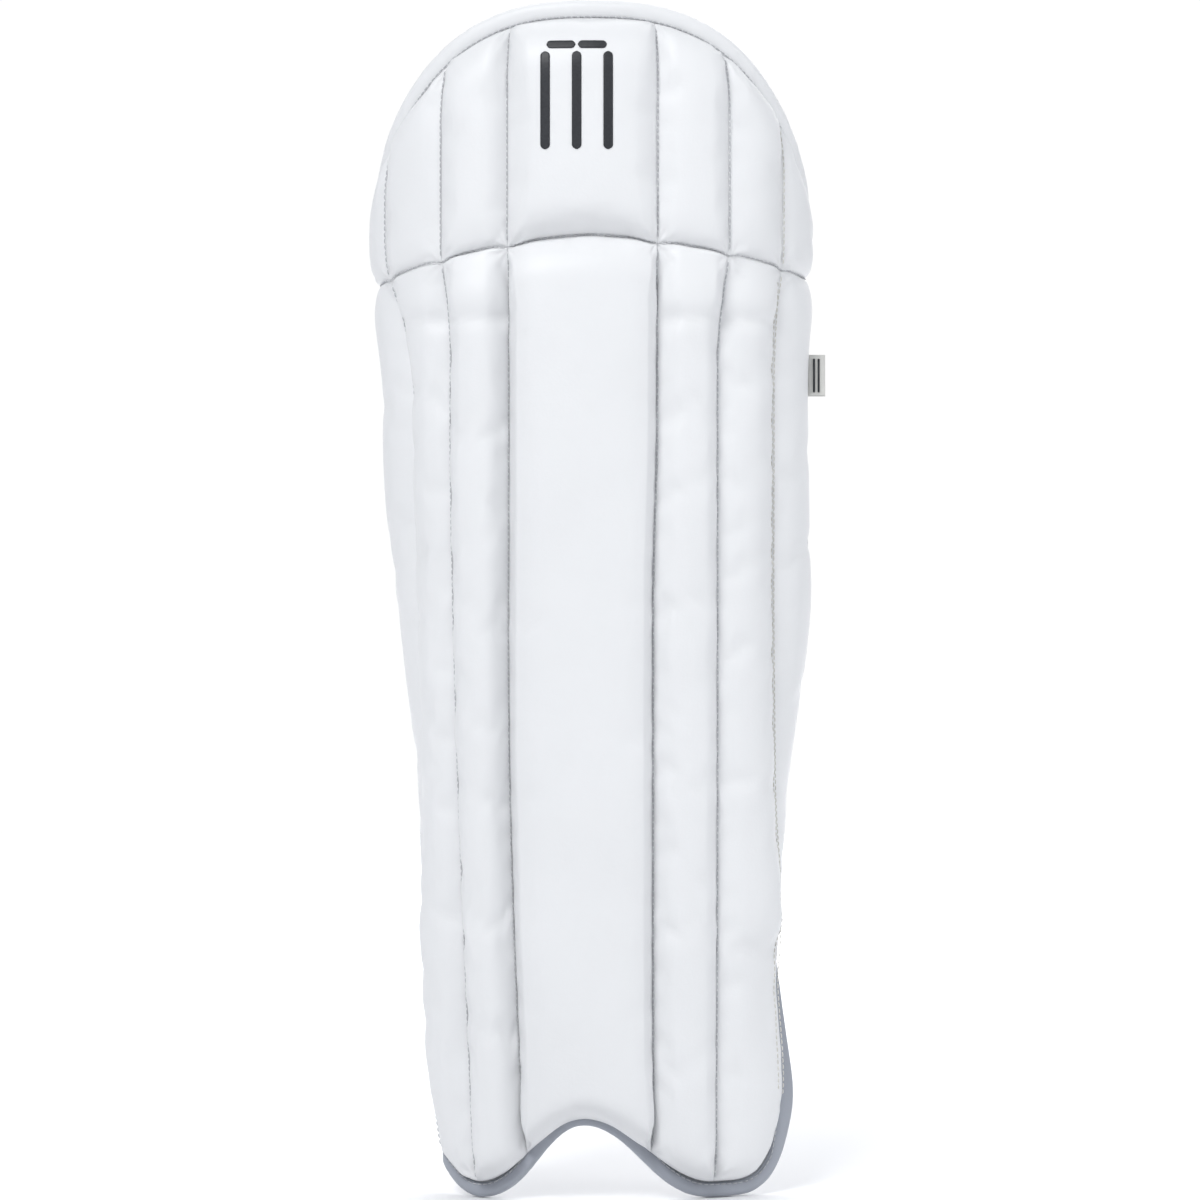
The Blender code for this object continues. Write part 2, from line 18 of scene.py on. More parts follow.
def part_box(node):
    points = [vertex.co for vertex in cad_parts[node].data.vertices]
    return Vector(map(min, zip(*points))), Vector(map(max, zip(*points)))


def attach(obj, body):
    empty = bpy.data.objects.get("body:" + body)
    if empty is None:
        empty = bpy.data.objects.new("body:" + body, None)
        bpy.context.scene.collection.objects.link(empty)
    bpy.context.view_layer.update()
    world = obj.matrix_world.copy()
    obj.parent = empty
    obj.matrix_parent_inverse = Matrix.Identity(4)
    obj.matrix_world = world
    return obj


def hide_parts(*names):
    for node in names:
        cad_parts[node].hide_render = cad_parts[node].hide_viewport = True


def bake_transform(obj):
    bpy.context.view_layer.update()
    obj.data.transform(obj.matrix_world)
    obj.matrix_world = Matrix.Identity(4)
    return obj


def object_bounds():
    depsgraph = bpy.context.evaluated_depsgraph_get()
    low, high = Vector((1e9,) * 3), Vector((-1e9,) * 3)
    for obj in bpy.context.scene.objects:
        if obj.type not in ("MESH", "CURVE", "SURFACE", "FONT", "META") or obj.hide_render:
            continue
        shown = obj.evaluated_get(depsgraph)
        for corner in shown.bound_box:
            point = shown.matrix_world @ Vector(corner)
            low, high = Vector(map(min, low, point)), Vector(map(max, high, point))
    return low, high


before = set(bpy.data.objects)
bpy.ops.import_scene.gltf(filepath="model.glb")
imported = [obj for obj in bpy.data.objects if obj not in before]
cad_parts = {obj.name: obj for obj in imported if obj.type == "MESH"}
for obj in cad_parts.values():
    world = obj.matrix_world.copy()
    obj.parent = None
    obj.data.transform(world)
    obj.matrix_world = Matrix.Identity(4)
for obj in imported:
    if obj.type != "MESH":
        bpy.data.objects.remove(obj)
cad_low, cad_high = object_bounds()

MM = 0.001


def node_box(name):
    """A CAD node's lowest and highest corner, in millimetres."""
    low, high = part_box(name)
    return low / MM, high / MM


# The guard's main sizes: the same driving dimensions as the CAD model's

TOP_BINDING_RADIUS = 4.0
INSTEP_BINDING_RADIUS = 3.0
WING_BINDING_RADIUS = 2.6
EDGE_GAP = 1.5  # from a panel's edge to its binding
GUARD_HEIGHT = round(node_box("flap_binding")[1].z)
KNEE_SEAM_Z = 505.5
KNEE_SEAM_DIP_LEFT = 24.0
KNEE_SEAM_DIP_RIGHT = 19.0
SEAM_PINCH = 1.6  # how far a crossing seam draws the knee seam down
KNEE_GAP = 0.3  # between the shin's skins and the flap's
WING_FOOT_Z = 150.0
LOBE_Z = 6.2
INSTEP_ARCH = 36.0
FOOT_MARGIN = 1.2
HALF_WIDTH = 116.0
FRONT_Y = -56.0
WING_DEPTH = 64.0

SEAM_T = 2.8  # how far in front of the backing the outer edges are sewn
SHIN_VALLEYS = (0, 0, 1, 3, 5, 7, 4, 3, 0, 0)  # how much further forward each seam is held
FLAP_VALLEYS = (0, 0, 5.5, 8, 11, 11, 8, 5.5, 0, 0)
BACK_N = 1.3  # the back of each stuffed panel
BOARD = (0.1, 1.2)
CENTRE_T = 25.0
INNER_T = 19.0
OUTER_T = 12.5
WING_T = 11.0
FLAP_T = 27.0
FLAP_SIDE_T = 20.0
FLAP_OUTER_T = 13.5
FLAP_EDGE_T = 10.0
SETBACK = 1.5  # how far the proud side of a panel is cut in from its seam, before it swells
SWELL = 1.2  # what the simulation adds to a panel's thickness
INSERT_END_Z = 462.0  # where the inserts of the side channels end

LEFT_REAR, LEFT_MID, LEFT_WING, LEFT_INNER, LEFT_CENTRE = range(5)
RIGHT_CENTRE, RIGHT_INNER, RIGHT_WING, RIGHT_MID, RIGHT_REAR = range(5, 10)

STITCH_PITCH = 3.3
STITCH_LENGTH = 2.7
THREAD_RADIUS = 0.3
STITCH_SIDES = 6
# A stitch's rings: (share of its length, lift and radius as shares of the thread's)
STITCH_PROFILE = ((-0.5, -0.5, 0.5), (-0.32, 0.25, 1.0), (0.0, 0.5, 1.1), (0.32, 0.25, 1.0), (0.5, -0.5, 0.5))
STITCH_LIFT = 1.1  # how far the seams' thread stands out of their valleys

WEBBING = 2.2
ANCHOR_RANGE = (0.16, 0.64)
TAB_RANGE = (8.36, 8.84)
STRAP_CLEARANCE = 11.5
STRAP_BOW = 7.0


def clamp(value):
    return max(0.0, min(1.0, value))


def ease(value):
    t = clamp(value)
    return t * t * (3 - 2 * t)


# The plan: where each seam stands at a height


def wing_depth(z):
    return WING_DEPTH * (0.5 + 0.5 * ease((z - WING_FOOT_Z) / 55))


def left_wing_x(z):
    lower = 17.5 * clamp((430 - z) / 430) ** 1.2 + 3 * ease((60 - z) / 60)
    return -94 + lower + 4.5 * ease((z - 120) / 120) - 12 * ease((z - 420) / 90)


def right_wing_x(z):
    lower = 2.5 * ease((220 - z) / 70) + 7.5 * ease((135 - z) / 100)
    return 92.5 + lower + 3.5 * ease((z - 430) / 80)


def seams(z):
    """The plan positions of the ten seams and edges at a height, from the left rear to the right rear."""
    left = left_wing_x(z)
    right = right_wing_x(z)
    left_mid = left - 11 + 16 * ease((450 - z) / 260) + 2.5 * ease((z - 440) / 60)
    left_mid -= 4.5 * ease((450 - z) / 90) * ease((z - 190) / 90)
    right_mid = right + 14 - 19.5 * ease((330 - z) / 160) + 3 * ease((z - 440) / 60)
    right_mid += 3 * ease((430 - z) / 150) * ease((z - WING_FOOT_Z) / 60)
    right_mid += 17 * ease((WING_FOOT_Z - z) / 45)
    depth = wing_depth(z)
    return [
        Vector((left_mid + 17, FRONT_Y + 32 + depth)),
        Vector((left_mid, FRONT_Y + 32 + 0.5 * depth)),
        Vector((left, FRONT_Y + 32)),
        Vector((-70 + 13 * clamp((400 - z) / 400) ** 1.4 - 3.5 * ease((z - 440) / 60), FRONT_Y + 8)),
        Vector((-41 + 10.3 * clamp((300 - z) / 300) ** 1.9, FRONT_Y)),
        Vector((31.5 + 2 * ease((z - 310) / 100), FRONT_Y)),
        Vector((64 + 4.5 * ease((z - 440) / 60), FRONT_Y + 7.5)),
        Vector((right, FRONT_Y + 30)),
        Vector((right_mid, FRONT_Y + 30 + 0.5 * depth)),
        Vector((right_mid - 17, FRONT_Y + 30 + depth)),
    ]


def tangents(points):
    """Tangents of a smooth curve through the points, per unit of length."""
    steps = [b - a for a, b in zip(points, points[1:])]
    lengths = [step.length for step in steps]
    inner = [
        (steps[k] / lengths[k] * lengths[k - 1] + steps[k - 1] / lengths[k - 1] * lengths[k])
        / (lengths[k] + lengths[k - 1])
        for k in range(1, len(steps))
    ]
    first = 1.5 * steps[0] / lengths[0] - 0.5 * inner[0]
    last = 1.5 * steps[-1] / lengths[-1] - 0.5 * inner[-1]
    return [first, *inner, last]


def flow(points, slopes, position):
    """The point and the direction at a position along the smooth curve through the points."""
    k = max(0, min(int(position), len(points) - 2))
    t = position - k
    a, b = points[k], points[k + 1]
    chord = (b - a).length
    m, w = slopes[k] * chord, slopes[k + 1] * chord
    point = (
        (2 * t**3 - 3 * t**2 + 1) * a
        + (t**3 - 2 * t**2 + t) * m
        + (3 * t**2 - 2 * t**3) * b
        + (t**3 - t**2) * w
    )
    along = (
        (6 * t**2 - 6 * t) * (a - b)
        + (3 * t**2 - 4 * t + 1) * m
        + (3 * t**2 - 2 * t) * w
    )
    return point, along.normalized()


def refined(points, steps):
    """A smooth curve through the points, with this many steps from each to the next."""
    slopes = tangents(points)
    return [flow(points, slopes, k / steps)[0] for k in range(steps * (len(points) - 1) + 1)]


def eased(values, steps):
    """Directions that turn evenly, this many steps from each to the next."""
    last = len(values) - 1
    found = [values[k].lerp(values[k + 1], j / steps).normalized() for k in range(last) for j in range(steps)]
    return found + [values[last]]


@functools.lru_cache(maxsize=None)
def plan_curve(z):
    points = seams(z)
    return points, tangents(points)


def plan(s, z):
    """The backing's plan point, its outward normal and its direction at seam number s and height z."""
    points, slopes = plan_curve(round(z, 1))
    point, along = flow(points, slopes, s)
    return point, Vector((along.y, -along.x)), along


def place(s, z, n, slide=0.0):
    """The point n in front of the backing and slide along it, in millimetres."""
    point, normal, along = plan(s, z)
    spot = point + normal * n + along * slide
    return Vector((spot.x, spot.y, z))


def outward(s, z):
    return Vector((*plan(s, z)[1], 0))


@functools.lru_cache(maxsize=None)
def arc(low_s, high_s, z):
    """The length of the backing between two seam numbers at a height."""
    spots = [plan(low_s + (high_s - low_s) * k / 8, z)[0] for k in range(9)]
    return sum((b - a).length for a, b in zip(spots, spots[1:]))


@functools.lru_cache(maxsize=None)
def knee_seam(s):
    x = plan(s, KNEE_SEAM_Z)[0].x
    dip = KNEE_SEAM_DIP_LEFT if x < 0 else KNEE_SEAM_DIP_RIGHT
    crossing = min(abs(s - seam) for seam in range(LEFT_WING, RIGHT_WING + 1))
    pinch = SEAM_PINCH * math.exp(-((crossing / 0.13) ** 2))
    return KNEE_SEAM_Z - dip * (abs(x) / HALF_WIDTH) ** 1.6 - pinch


def below_knee(s):
    return knee_seam(s) - KNEE_GAP / 2


def above_knee(s):
    return knee_seam(s) + KNEE_GAP / 2


@functools.lru_cache(maxsize=None)
def dome(s):
    """The flap's top edge, under its binding. It falls away where the flap turns to the rear."""
    rise = GUARD_HEIGHT - 2 * TOP_BINDING_RADIUS - EDGE_GAP - KNEE_SEAM_Z
    x = plan(s, KNEE_SEAM_Z + 0.6 * rise)[0].x
    beyond = max(LEFT_WING - s, s - RIGHT_WING, 0)
    return KNEE_SEAM_Z + rise * (1 - min(abs(x - 1) / HALF_WIDTH, 1) ** 2.7) ** 0.64 - 10 * beyond**2


@functools.lru_cache(maxsize=None)
def instep(s):
    """The shin's lower edge: an arch over the foot between two lobes, with rounded outer corners."""
    x = plan(s, LOBE_Z)[0].x
    left_lobe, right_lobe = -57.5, 63.0
    if x < left_lobe:
        return LOBE_Z + 24 * ((left_lobe - x) / 21.5) ** 2
    if x > right_lobe:
        return LOBE_Z + 17 * ((x - right_lobe) / 33) ** 5
    crown = -2.0
    reach = (crown - left_lobe) if x < crown else (right_lobe - crown)
    return LOBE_Z + INSTEP_ARCH * (0.5 + 0.5 * math.cos(math.pi * (x - crown) / reach))


def shin_foot(s):
    """The lower edge of the shin's stuffed panels: above the board's, but over it at the arch."""
    return instep(s) + FOOT_MARGIN - 2 * ease((instep(s) - LOBE_Z) / INSTEP_ARCH)


def wing_foot(s):
    beyond = min(s - RIGHT_WING, 2) if s >= RIGHT_WING else LEFT_WING - s
    return WING_FOOT_Z + 7 * beyond**2


def roll(distance, reach):
    """How far a stuffed panel has risen at a distance from its seam, from 0 to 1."""
    left = 1 - clamp(distance / reach)
    return (1 - left**1.6) ** (1 / 1.6)


def valley(s, z):
    """How far in front of the backing the seams are held at a place."""
    k = min(int(s), 8)
    share = s - k
    shin = SHIN_VALLEYS[k] + (SHIN_VALLEYS[k + 1] - SHIN_VALLEYS[k]) * share
    flap = FLAP_VALLEYS[k] + (FLAP_VALLEYS[k + 1] - FLAP_VALLEYS[k]) * share
    rise = shin + (flap - shin) * ease((z - knee_seam(s) + 22) / 30)
    return SEAM_T + rise * roll(z - instep(s), 30) * roll(dome(s) - z, 30)


# Mesh helpers


def steps_between(low, high, size):
    """Evenly spaced numbers from low to high, about this size apart."""
    count = max(1, round(abs(high - low) / size))
    return [low + (high - low) * k / count for k in range(count + 1)]


def piece(name, points, faces, finish):
    """A new object from points in millimetres."""
    data = bpy.data.meshes.new(name)
    data.from_pydata([point * MM for point in points], [], faces)
    shape = bmesh.new()
    shape.from_mesh(data)
    bmesh.ops.recalc_face_normals(shape, faces=shape.faces[:])
    shape.to_mesh(data)
    shape.free()
    data.materials.append(finish)
    data.polygons.foreach_set("use_smooth", [True] * len(data.polygons))
    thing = bpy.data.objects.new(name, data)
    bpy.context.scene.collection.objects.link(thing)
    return thing


def grid_faces(columns, rows, start=0):
    return [
        (a, a + 1, a + columns + 1, a + columns)
        for row in range(rows - 1)
        for a in range(start + row * columns, start + row * columns + columns - 1)
    ]


def closed_grid(columns, rows):
    """Faces of a closed solid whose front grid's points come first, and then its back grid's."""
    back = columns * rows
    faces = grid_faces(columns, rows) + grid_faces(columns, rows, back)
    rim = [*range(columns)]
    rim += [row * columns + columns - 1 for row in range(1, rows)]
    rim += [back - 1 - k for k in range(1, columns)]
    rim += [row * columns for row in range(rows - 2, 0, -1)]
    faces += [(a, b, b + back, a + back) for a, b in zip(rim, rim[1:] + rim[:1])]
    return faces, rim


def final(thing):
    """Makes the object's shape, with one level of subdivision, its mesh."""
    smoother = thing.modifiers.new("smooth", "SUBSURF")
    smoother.levels = smoother.render_levels = 1
    graph = bpy.context.evaluated_depsgraph_get()
    data = bpy.data.meshes.new_from_object(thing.evaluated_get(graph))
    thing.modifiers.clear()
    old = thing.data
    thing.data = data
    bpy.data.meshes.remove(old)
    data.name = thing.name
    data.polygons.foreach_set("use_smooth", [True] * len(data.polygons))
    return thing


def joined(name, things):
    """One object from several."""
    shape = bmesh.new()
    for thing in things:
        shape.from_mesh(thing.data)
    data = bpy.data.meshes.new(name)
    shape.to_mesh(data)
    shape.free()
    data.materials.append(things[0].data.materials[0])
    made = bpy.data.objects.new(name, data)
    bpy.context.scene.collection.objects.link(made)
    for thing in things:
        bpy.data.objects.remove(thing)
    return made


def tube_faces(start, sides, rings):
    """Faces of a closed tube whose rings of points follow one another."""
    last = start + sides * (rings - 1)
    faces = [
        (a + k, a + (k + 1) % sides, a + (k + 1) % sides + sides, a + k + sides)
        for a in range(start, last, sides)
        for k in range(sides)
    ]
    return faces + [tuple(range(start, start + sides)), tuple(range(last, last + sides))]


def sweep(name, centres, outs, ups, section, finish):
    """A closed tube along the centres; section(k) gives its (out, up) points at centre k."""
    points = []
    for k, (centre, out, up) in enumerate(zip(centres, outs, ups)):
        points += [centre + out * across + up * above for across, above in section(k)]
    faces = tube_faces(0, len(points) // len(centres), len(centres))
    return piece(name, points, faces, finish)


def rim(route, n, offset):
    """Points beside a route of (s, z) places, offset from its edge, with the two directions."""
    spots = [place(s, z, n) for s, z in route]
    centres, outs, ups = [], [], []
    for k, spot in enumerate(spots):
        before, after = spots[max(k - 1, 0)], spots[min(k + 1, len(spots) - 1)]
        up = outward(*route[k])
        side = (after - before).cross(up).normalized() * math.copysign(1, offset)
        mitre = 1.0
        if 0 < k < len(spots) - 1:
            turn = (spot - before).normalized().dot((after - spot).normalized())
            mitre = math.sqrt(2 / (1 + turn))
        centres.append(spot + side * abs(offset) * mitre)
        outs.append(side)
        ups.append(up)
    return centres, outs, ups


def stitches(name, rows, finish):
    """Thread along rows, each a list of (point, outward direction) pairs, as one mesh."""
    points, faces = [], []
    for row in rows:
        for centre, along, up in spaced(row, STITCH_PITCH):
            across = along.cross(up).normalized()
            base = len(points)
            for share, lift, size in STITCH_PROFILE:
                middle = centre + along * share * STITCH_LENGTH + up * lift * THREAD_RADIUS * 1.6
                for k in range(STITCH_SIDES):
                    angle = math.tau * k / STITCH_SIDES
                    out = across * math.cos(angle) + up * math.sin(angle)
                    points.append(middle + out * THREAD_RADIUS * size)
            faces += tube_faces(base, STITCH_SIDES, len(STITCH_PROFILE))
    return piece(name, points, faces, finish)


def spaced(row, pitch):
    """(point, direction, outward) at even distances along a row of (point, outward) pairs."""
    lengths = [0.0]
    for (a, _), (b, _) in zip(row, row[1:]):
        lengths.append(lengths[-1] + (b - a).length)
    count = max(1, int(lengths[-1] / pitch))
    found, k = [], 0
    for step in range(count):
        at = (step + 0.5) * lengths[-1] / count
        while lengths[k + 1] < at:
            k += 1
        share = (at - lengths[k]) / (lengths[k + 1] - lengths[k])
        (a, up_a), (b, up_b) = row[k], row[k + 1]
        up = up_a.lerp(up_b, share).normalized()
        along = (b - a).normalized()
        up = (up - along * up.dot(along)).normalized()
        found.append((a.lerp(b, share), along, up))
    return found


# Materials


def shader(name, colour, roughness, **sockets):
    made = bpy.data.materials.new(name)
    made.use_nodes = True
    principled = made.node_tree.nodes["Principled BSDF"]
    principled.inputs["Base Color"].default_value = (*colour, 1.0)
    principled.inputs["Roughness"].default_value = roughness
    for socket, value in sockets.items():
        principled.inputs[socket.replace("_", " ")].default_value = value
    return made, made.node_tree, principled


def node(tree, kind, **settings):
    made = tree.nodes.new("ShaderNode" + kind)
    for key, value in settings.items():
        if key in made.inputs:
            made.inputs[key].default_value = value
        else:
            setattr(made, key, value)
    return made


def textured(tree, kind, scale, squeeze=(1, 1, 1), **settings):
    """A texture node over the object's own coordinates, in metres."""
    spot = node(tree, "TexCoord")
    stretch = node(tree, "Mapping")
    stretch.inputs["Scale"].default_value = squeeze
    tree.links.new(spot.outputs["Object"], stretch.inputs["Vector"])
    made = node(tree, kind, **settings)
    made.inputs["Scale"].default_value = scale
    tree.links.new(stretch.outputs["Vector"], made.inputs["Vector"])
    return made


def ramp(tree, source, low, high, low_colour, high_colour):
    """A colour ramp over a number from a node."""
    made = node(tree, "ValToRGB")
    first, last = made.color_ramp.elements
    first.position, last.position = low, high
    first.color, last.color = (*low_colour, 1), (*high_colour, 1)
    tree.links.new(source, made.inputs["Fac"])
    return made.outputs["Color"]


def tint(tree, principled, source, low, high, low_colour, high_colour):
    """Colours a material by a ramp over a number from a node."""
    colour = ramp(tree, source, low, high, low_colour, high_colour)
    tree.links.new(colour, principled.inputs["Base Color"])


def relief(tree, principled, layers):
    """Chains bumps: (height output, strength, distance in metres)."""
    before = None
    for height, strength, distance in layers:
        bump = node(tree, "Bump")
        bump.inputs["Strength"].default_value = strength
        bump.inputs["Distance"].default_value = distance
        tree.links.new(height, bump.inputs["Height"])
        if before:
            tree.links.new(before.outputs["Normal"], bump.inputs["Normal"])
        before = bump
    tree.links.new(before.outputs["Normal"], principled.inputs["Normal"])


def shaded(colour, factor):
    return tuple(channel * factor for channel in colour)


def coated_cloth(name, colour, grain=1.0):
    """Polyurethane-coated cloth: a fine pebbled grain over soft creases."""
    made, tree, principled = shader(
        name, colour, 0.48, Specular_IOR_Level=0.42, Sheen_Weight=0.06, Sheen_Roughness=0.5
    )
    tone = textured(tree, "TexNoise", 14, Detail=4.0)
    tint(tree, principled, tone.outputs["Fac"], 0.3, 0.7, shaded(colour, 0.972), colour)
    gloss = textured(tree, "TexNoise", 55, Detail=3.0)
    level = node(tree, "MapRange")
    level.inputs["To Min"].default_value = 0.42
    level.inputs["To Max"].default_value = 0.56
    tree.links.new(gloss.outputs["Fac"], level.inputs["Value"])
    tree.links.new(level.outputs["Result"], principled.inputs["Roughness"])
    pebbles = textured(tree, "TexVoronoi", 900, feature="SMOOTH_F1")
    pores = textured(tree, "TexNoise", 2600, Detail=2.0)
    creases = textured(tree, "TexNoise", 75, Detail=5.0, Roughness=0.55)
    relief(tree, principled, [
        (creases.outputs["Fac"], 0.16 * grain, 0.0016),
        (pebbles.outputs["Distance"], 0.16 * grain, 0.00016),
        (pores.outputs["Fac"], 0.10 * grain, 0.00010),
    ])
    return made


def woven(name, colour, threads=1300, roughness=0.85, strength=0.45):
    """Two crossed sets of threads. Neither set follows X or Y, which would bend round the guard."""
    made, tree, principled = shader(
        name, colour, roughness, Sheen_Weight=0.15, Sheen_Roughness=0.6, Specular_IOR_Level=0.2
    )
    weave = node(tree, "Math", operation="MULTIPLY")
    for k, direction in enumerate(("DIAGONAL", "Z")):
        yarn = textured(tree, "TexWave", threads / 6.28, bands_direction=direction, Distortion=0.6)
        tree.links.new(yarn.outputs["Fac"], weave.inputs[k])
    fuzz = textured(tree, "TexNoise", 420, Detail=4.0)
    tint(tree, principled, weave.outputs["Value"], 0.0, 0.9, shaded(colour, 0.80), colour)
    relief(tree, principled, [
        (weave.outputs["Value"], strength, 0.0004),
        (fuzz.outputs["Fac"], 0.2, 0.0004),
    ])
    return made


def towelling(name, colour):
    made, tree, principled = shader(
        name, colour, 0.95, Sheen_Weight=0.35, Sheen_Roughness=0.7, Specular_IOR_Level=0.1
    )
    loops = textured(tree, "TexVoronoi", 620, feature="F1")
    tufts = textured(tree, "TexNoise", 160, Detail=6.0, Roughness=0.7)
    tint(tree, principled, loops.outputs["Distance"], 0.0, 0.8, colour, shaded(colour, 0.72))
    relief(tree, principled, [
        (tufts.outputs["Fac"], 0.5, 0.0014),
        (loops.outputs["Distance"], 0.7, 0.0009),
    ])
    return made


def hooked(name, colour, scale, strength):
    """The nap of hook or loop tape."""
    made, tree, principled = shader(name, colour, 0.9, Sheen_Weight=0.2, Specular_IOR_Level=0.15)
    nap = textured(tree, "TexVoronoi", scale, feature="F1")
    fluff = textured(tree, "TexNoise", scale * 0.8, Detail=5.0)
    tint(tree, principled, nap.outputs["Distance"], 0.1, 0.8, colour, shaded(colour, 0.7))
    relief(tree, principled, [
        (nap.outputs["Distance"], strength, 0.0006),
        (fluff.outputs["Fac"], strength * 0.6, 0.0005),
    ])
    return made


def plain_solid(name, colour, roughness, scale, squeeze=(1, 1, 1), depth=0.0004, dark=0.82):
    """Foam, board or cane: one mottled texture for colour and relief."""
    made, tree, principled = shader(name, colour, roughness, Specular_IOR_Level=0.3)
    mottle = textured(tree, "TexNoise", scale, squeeze, Detail=5.0)
    tint(tree, principled, mottle.outputs["Fac"], 0.35, 0.65, shaded(colour, dark), colour)
    relief(tree, principled, [(mottle.outputs["Fac"], 0.4, depth)])
    return made


WHITE = (0.790, 0.795, 0.803)
SOFT_WHITE = (0.74, 0.75, 0.77)
GREY = (0.330, 0.350, 0.395)
# The seams' thread is white, but it is coloured a darker bluish grey: painted shade of the seam valleys and
# stitch holes.
THREAD_GREY_PAINTED_SHADE = (0.60, 0.61, 0.63)
BEIGE = (0.77, 0.75, 0.70)
CHARCOAL = (0.035, 0.037, 0.042)

finishes = {
    "cover": coated_cloth("white_cover", WHITE),
    "binding": coated_cloth("white_binding", WHITE, 0.7),
    "instep": coated_cloth("grey_binding", GREY, 0.8),
    "lining": woven("lining_cloth", SOFT_WHITE),
    "towelling": towelling("towelling", (0.78, 0.785, 0.79)),
    "webbing": woven("white_webbing", (0.76, 0.765, 0.775), 2300, 0.75, strength=0.8),
    "loop": hooked("loop_tape", (0.77, 0.775, 0.78), 900, 0.6),
    "hook": hooked("hook_tape", (0.72, 0.725, 0.73), 1300, 0.9),
    # Seam thread: real thread, coloured grey as painted shade of the valleys and stitch holes it lies in.
    "thread": woven("sewing_thread_painted_shade", THREAD_GREY_PAINTED_SHADE, 6000, 0.6, strength=0.3),
    "beige": woven("beige_thread", BEIGE, 6000, 0.6, strength=0.3),
    "label": woven("label_tape", (0.76, 0.755, 0.72), 3600, 0.7, strength=0.4),
    "print": plain_solid("charcoal_print", CHARCOAL, 0.42, 700, depth=0.0001, dark=0.8),
    "foam": plain_solid("foam", (0.86, 0.82, 0.68), 0.9, 600),
    "board": plain_solid("board", (0.42, 0.43, 0.45), 0.7, 900),
    "cane": plain_solid("cane", (0.68, 0.50, 0.28), 0.55, 300, (6, 6, 0.4), 0.0003, 0.7),
}

NODE_FINISH = {
    "cane": "cane", "backing": "board", "filling": "foam", "foam": "foam", "lining": "lining",
    "bolster": "towelling", "cup": "towelling", "strap": "webbing", "anchor": "webbing",
    "tab": "hook", "patch": "loop", "label": "label", "emblem": "print",
}


def finish_nodes():
    """Gives every CAD node a material of its kind, whether or not a new piece stands for it."""
    for name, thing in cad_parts.items():
        kind = next((NODE_FINISH[word] for word in NODE_FINISH if word in name), "cover")
        kind = "instep" if name == "instep_binding" else kind
        for slot in thing.material_slots:
            slot.material = finishes[kind]


# Stuffed panels

CELL = 5.0  # the simulated grid's size in the middle of a panel
HEM_REACH = 42.0  # how far in from the binding a hemmed side reaches its full thickness
HEM_SETBACK = 4.4  # how far in the right outer panel's edge lies at the bottom
SETBACK_REACH = 28.0
LEFT_HEM = ("low", 85.0, 60.0)  # the side, the height where it starts to flatten, and over how much
RIGHT_HEM = ("high", WING_FOOT_Z, 25.0)
NEAR_END = (0.0, 1.5, 3.5, 6.5, 10.5, 15.0, 20.0, 26.0)


def drawn_in(s, z):
    """How far the right outer panel's edge lies in from the grey binding, below the wing."""
    near = clamp(1 + (s - RIGHT_WING) / 0.25)
    return HEM_SETBACK * near * ease((WING_FOOT_Z + 25 - z) / 130)


class Panel:
    """A stuffed panel between two seams. Each side is proud, with a steep wall, or tucked."""

    def __init__(self, low_s, high_s, foot, head, thickness, sides, ends, crown=0.6):
        self.low_s, self.high_s = low_s, high_s
        self.foot, self.head = foot, head
        self.thickness = thickness
        self.sides = sides
        self.ends = ends  # how far up from its foot and down from its head it reaches full thickness
        self.crown = crown
        self.hem = None  # the side that lies flat low down, where it meets the binding

    def columns(self):
        """(distance from the low seam or from the high one, share, rise, slide) across the panel."""
        middle_z = 0.5 * (self.foot(self.low_s) + self.head(self.low_s))
        width = arc(self.low_s, self.high_s, round(middle_z))
        low, high = [side_profile(*side) for side in self.sides]
        flat = width - low[-1][0] - high[-1][0]
        count = max(2, round(flat / CELL))
        found = [("low", distance, rise, slide) for distance, rise, slide in low]
        found += [("middle", k / count, 1.0, 0.0) for k in range(1, count)]
        found += [("high", distance, rise, slide) for distance, rise, slide in high[::-1]]
        return found

    def rows(self):
        length = self.head(self.low_s) - self.foot(self.low_s) - 2 * NEAR_END[-1]
        count = max(2, round(length / (CELL + 1)))
        found = [("foot", distance) for distance in NEAR_END]
        found += [("share", k / count) for k in range(1, count)]
        found += [("head", distance) for distance in NEAR_END[::-1]]
        return found

    def spot(self, column, row):
        """(s, z, rise, slide, distances to the low seam, high seam, foot and head) of a grid point."""
        kind, value, rise, slide = column
        reaches = [side_profile(*side)[-1][0] for side in self.sides]
        middle_s = 0.5 * (self.low_s + self.high_s)
        z = self.height(middle_s, row)
        width = arc(self.low_s, self.high_s, round(z))
        if kind == "low":
            distance = value
        elif kind == "high":
            distance = width - value
        else:
            distance = reaches[0] + (width - sum(reaches)) * value
        s = self.low_s + (self.high_s - self.low_s) * clamp(distance / width)
        z = self.height(s, row)
        from_foot, from_head = z - self.foot(s), self.head(s) - z
        if self.hem:
            side, start_z, reach_z = self.hem
            flat = ease((start_z - z) / reach_z)
            inward = distance if side == "low" else width - distance
            rise += (min(rise, ease(inward / HEM_REACH)) - rise) * flat
            slide *= 1 - flat
        setback = 0.0
        if self.high_s == RIGHT_WING:
            setback = drawn_in(RIGHT_WING, z) * (1 - clamp((width - distance) / SETBACK_REACH))
        end = roll(from_foot, self.ends[0]) * roll(from_head, self.ends[1])
        crown = self.crown * (1 - (2 * distance / width - 1) ** 2)
        base = valley(s, z)
        n = base + ((self.thickness - SWELL - self.crown - base) * rise + crown * rise) * end
        return s, z, n, slide * end - setback, (distance, width - distance, from_foot, from_head)

    def height(self, s, row):
        kind, value = row
        low, high = self.foot(s), self.head(s)
        near = min(NEAR_END[-1], 0.4 * (high - low)) / NEAR_END[-1]
        if kind == "foot":
            return low + value * near
        if kind == "head":
            return high - value * near
        edge = NEAR_END[-1] * near
        return low + edge + (high - low - 2 * edge) * value


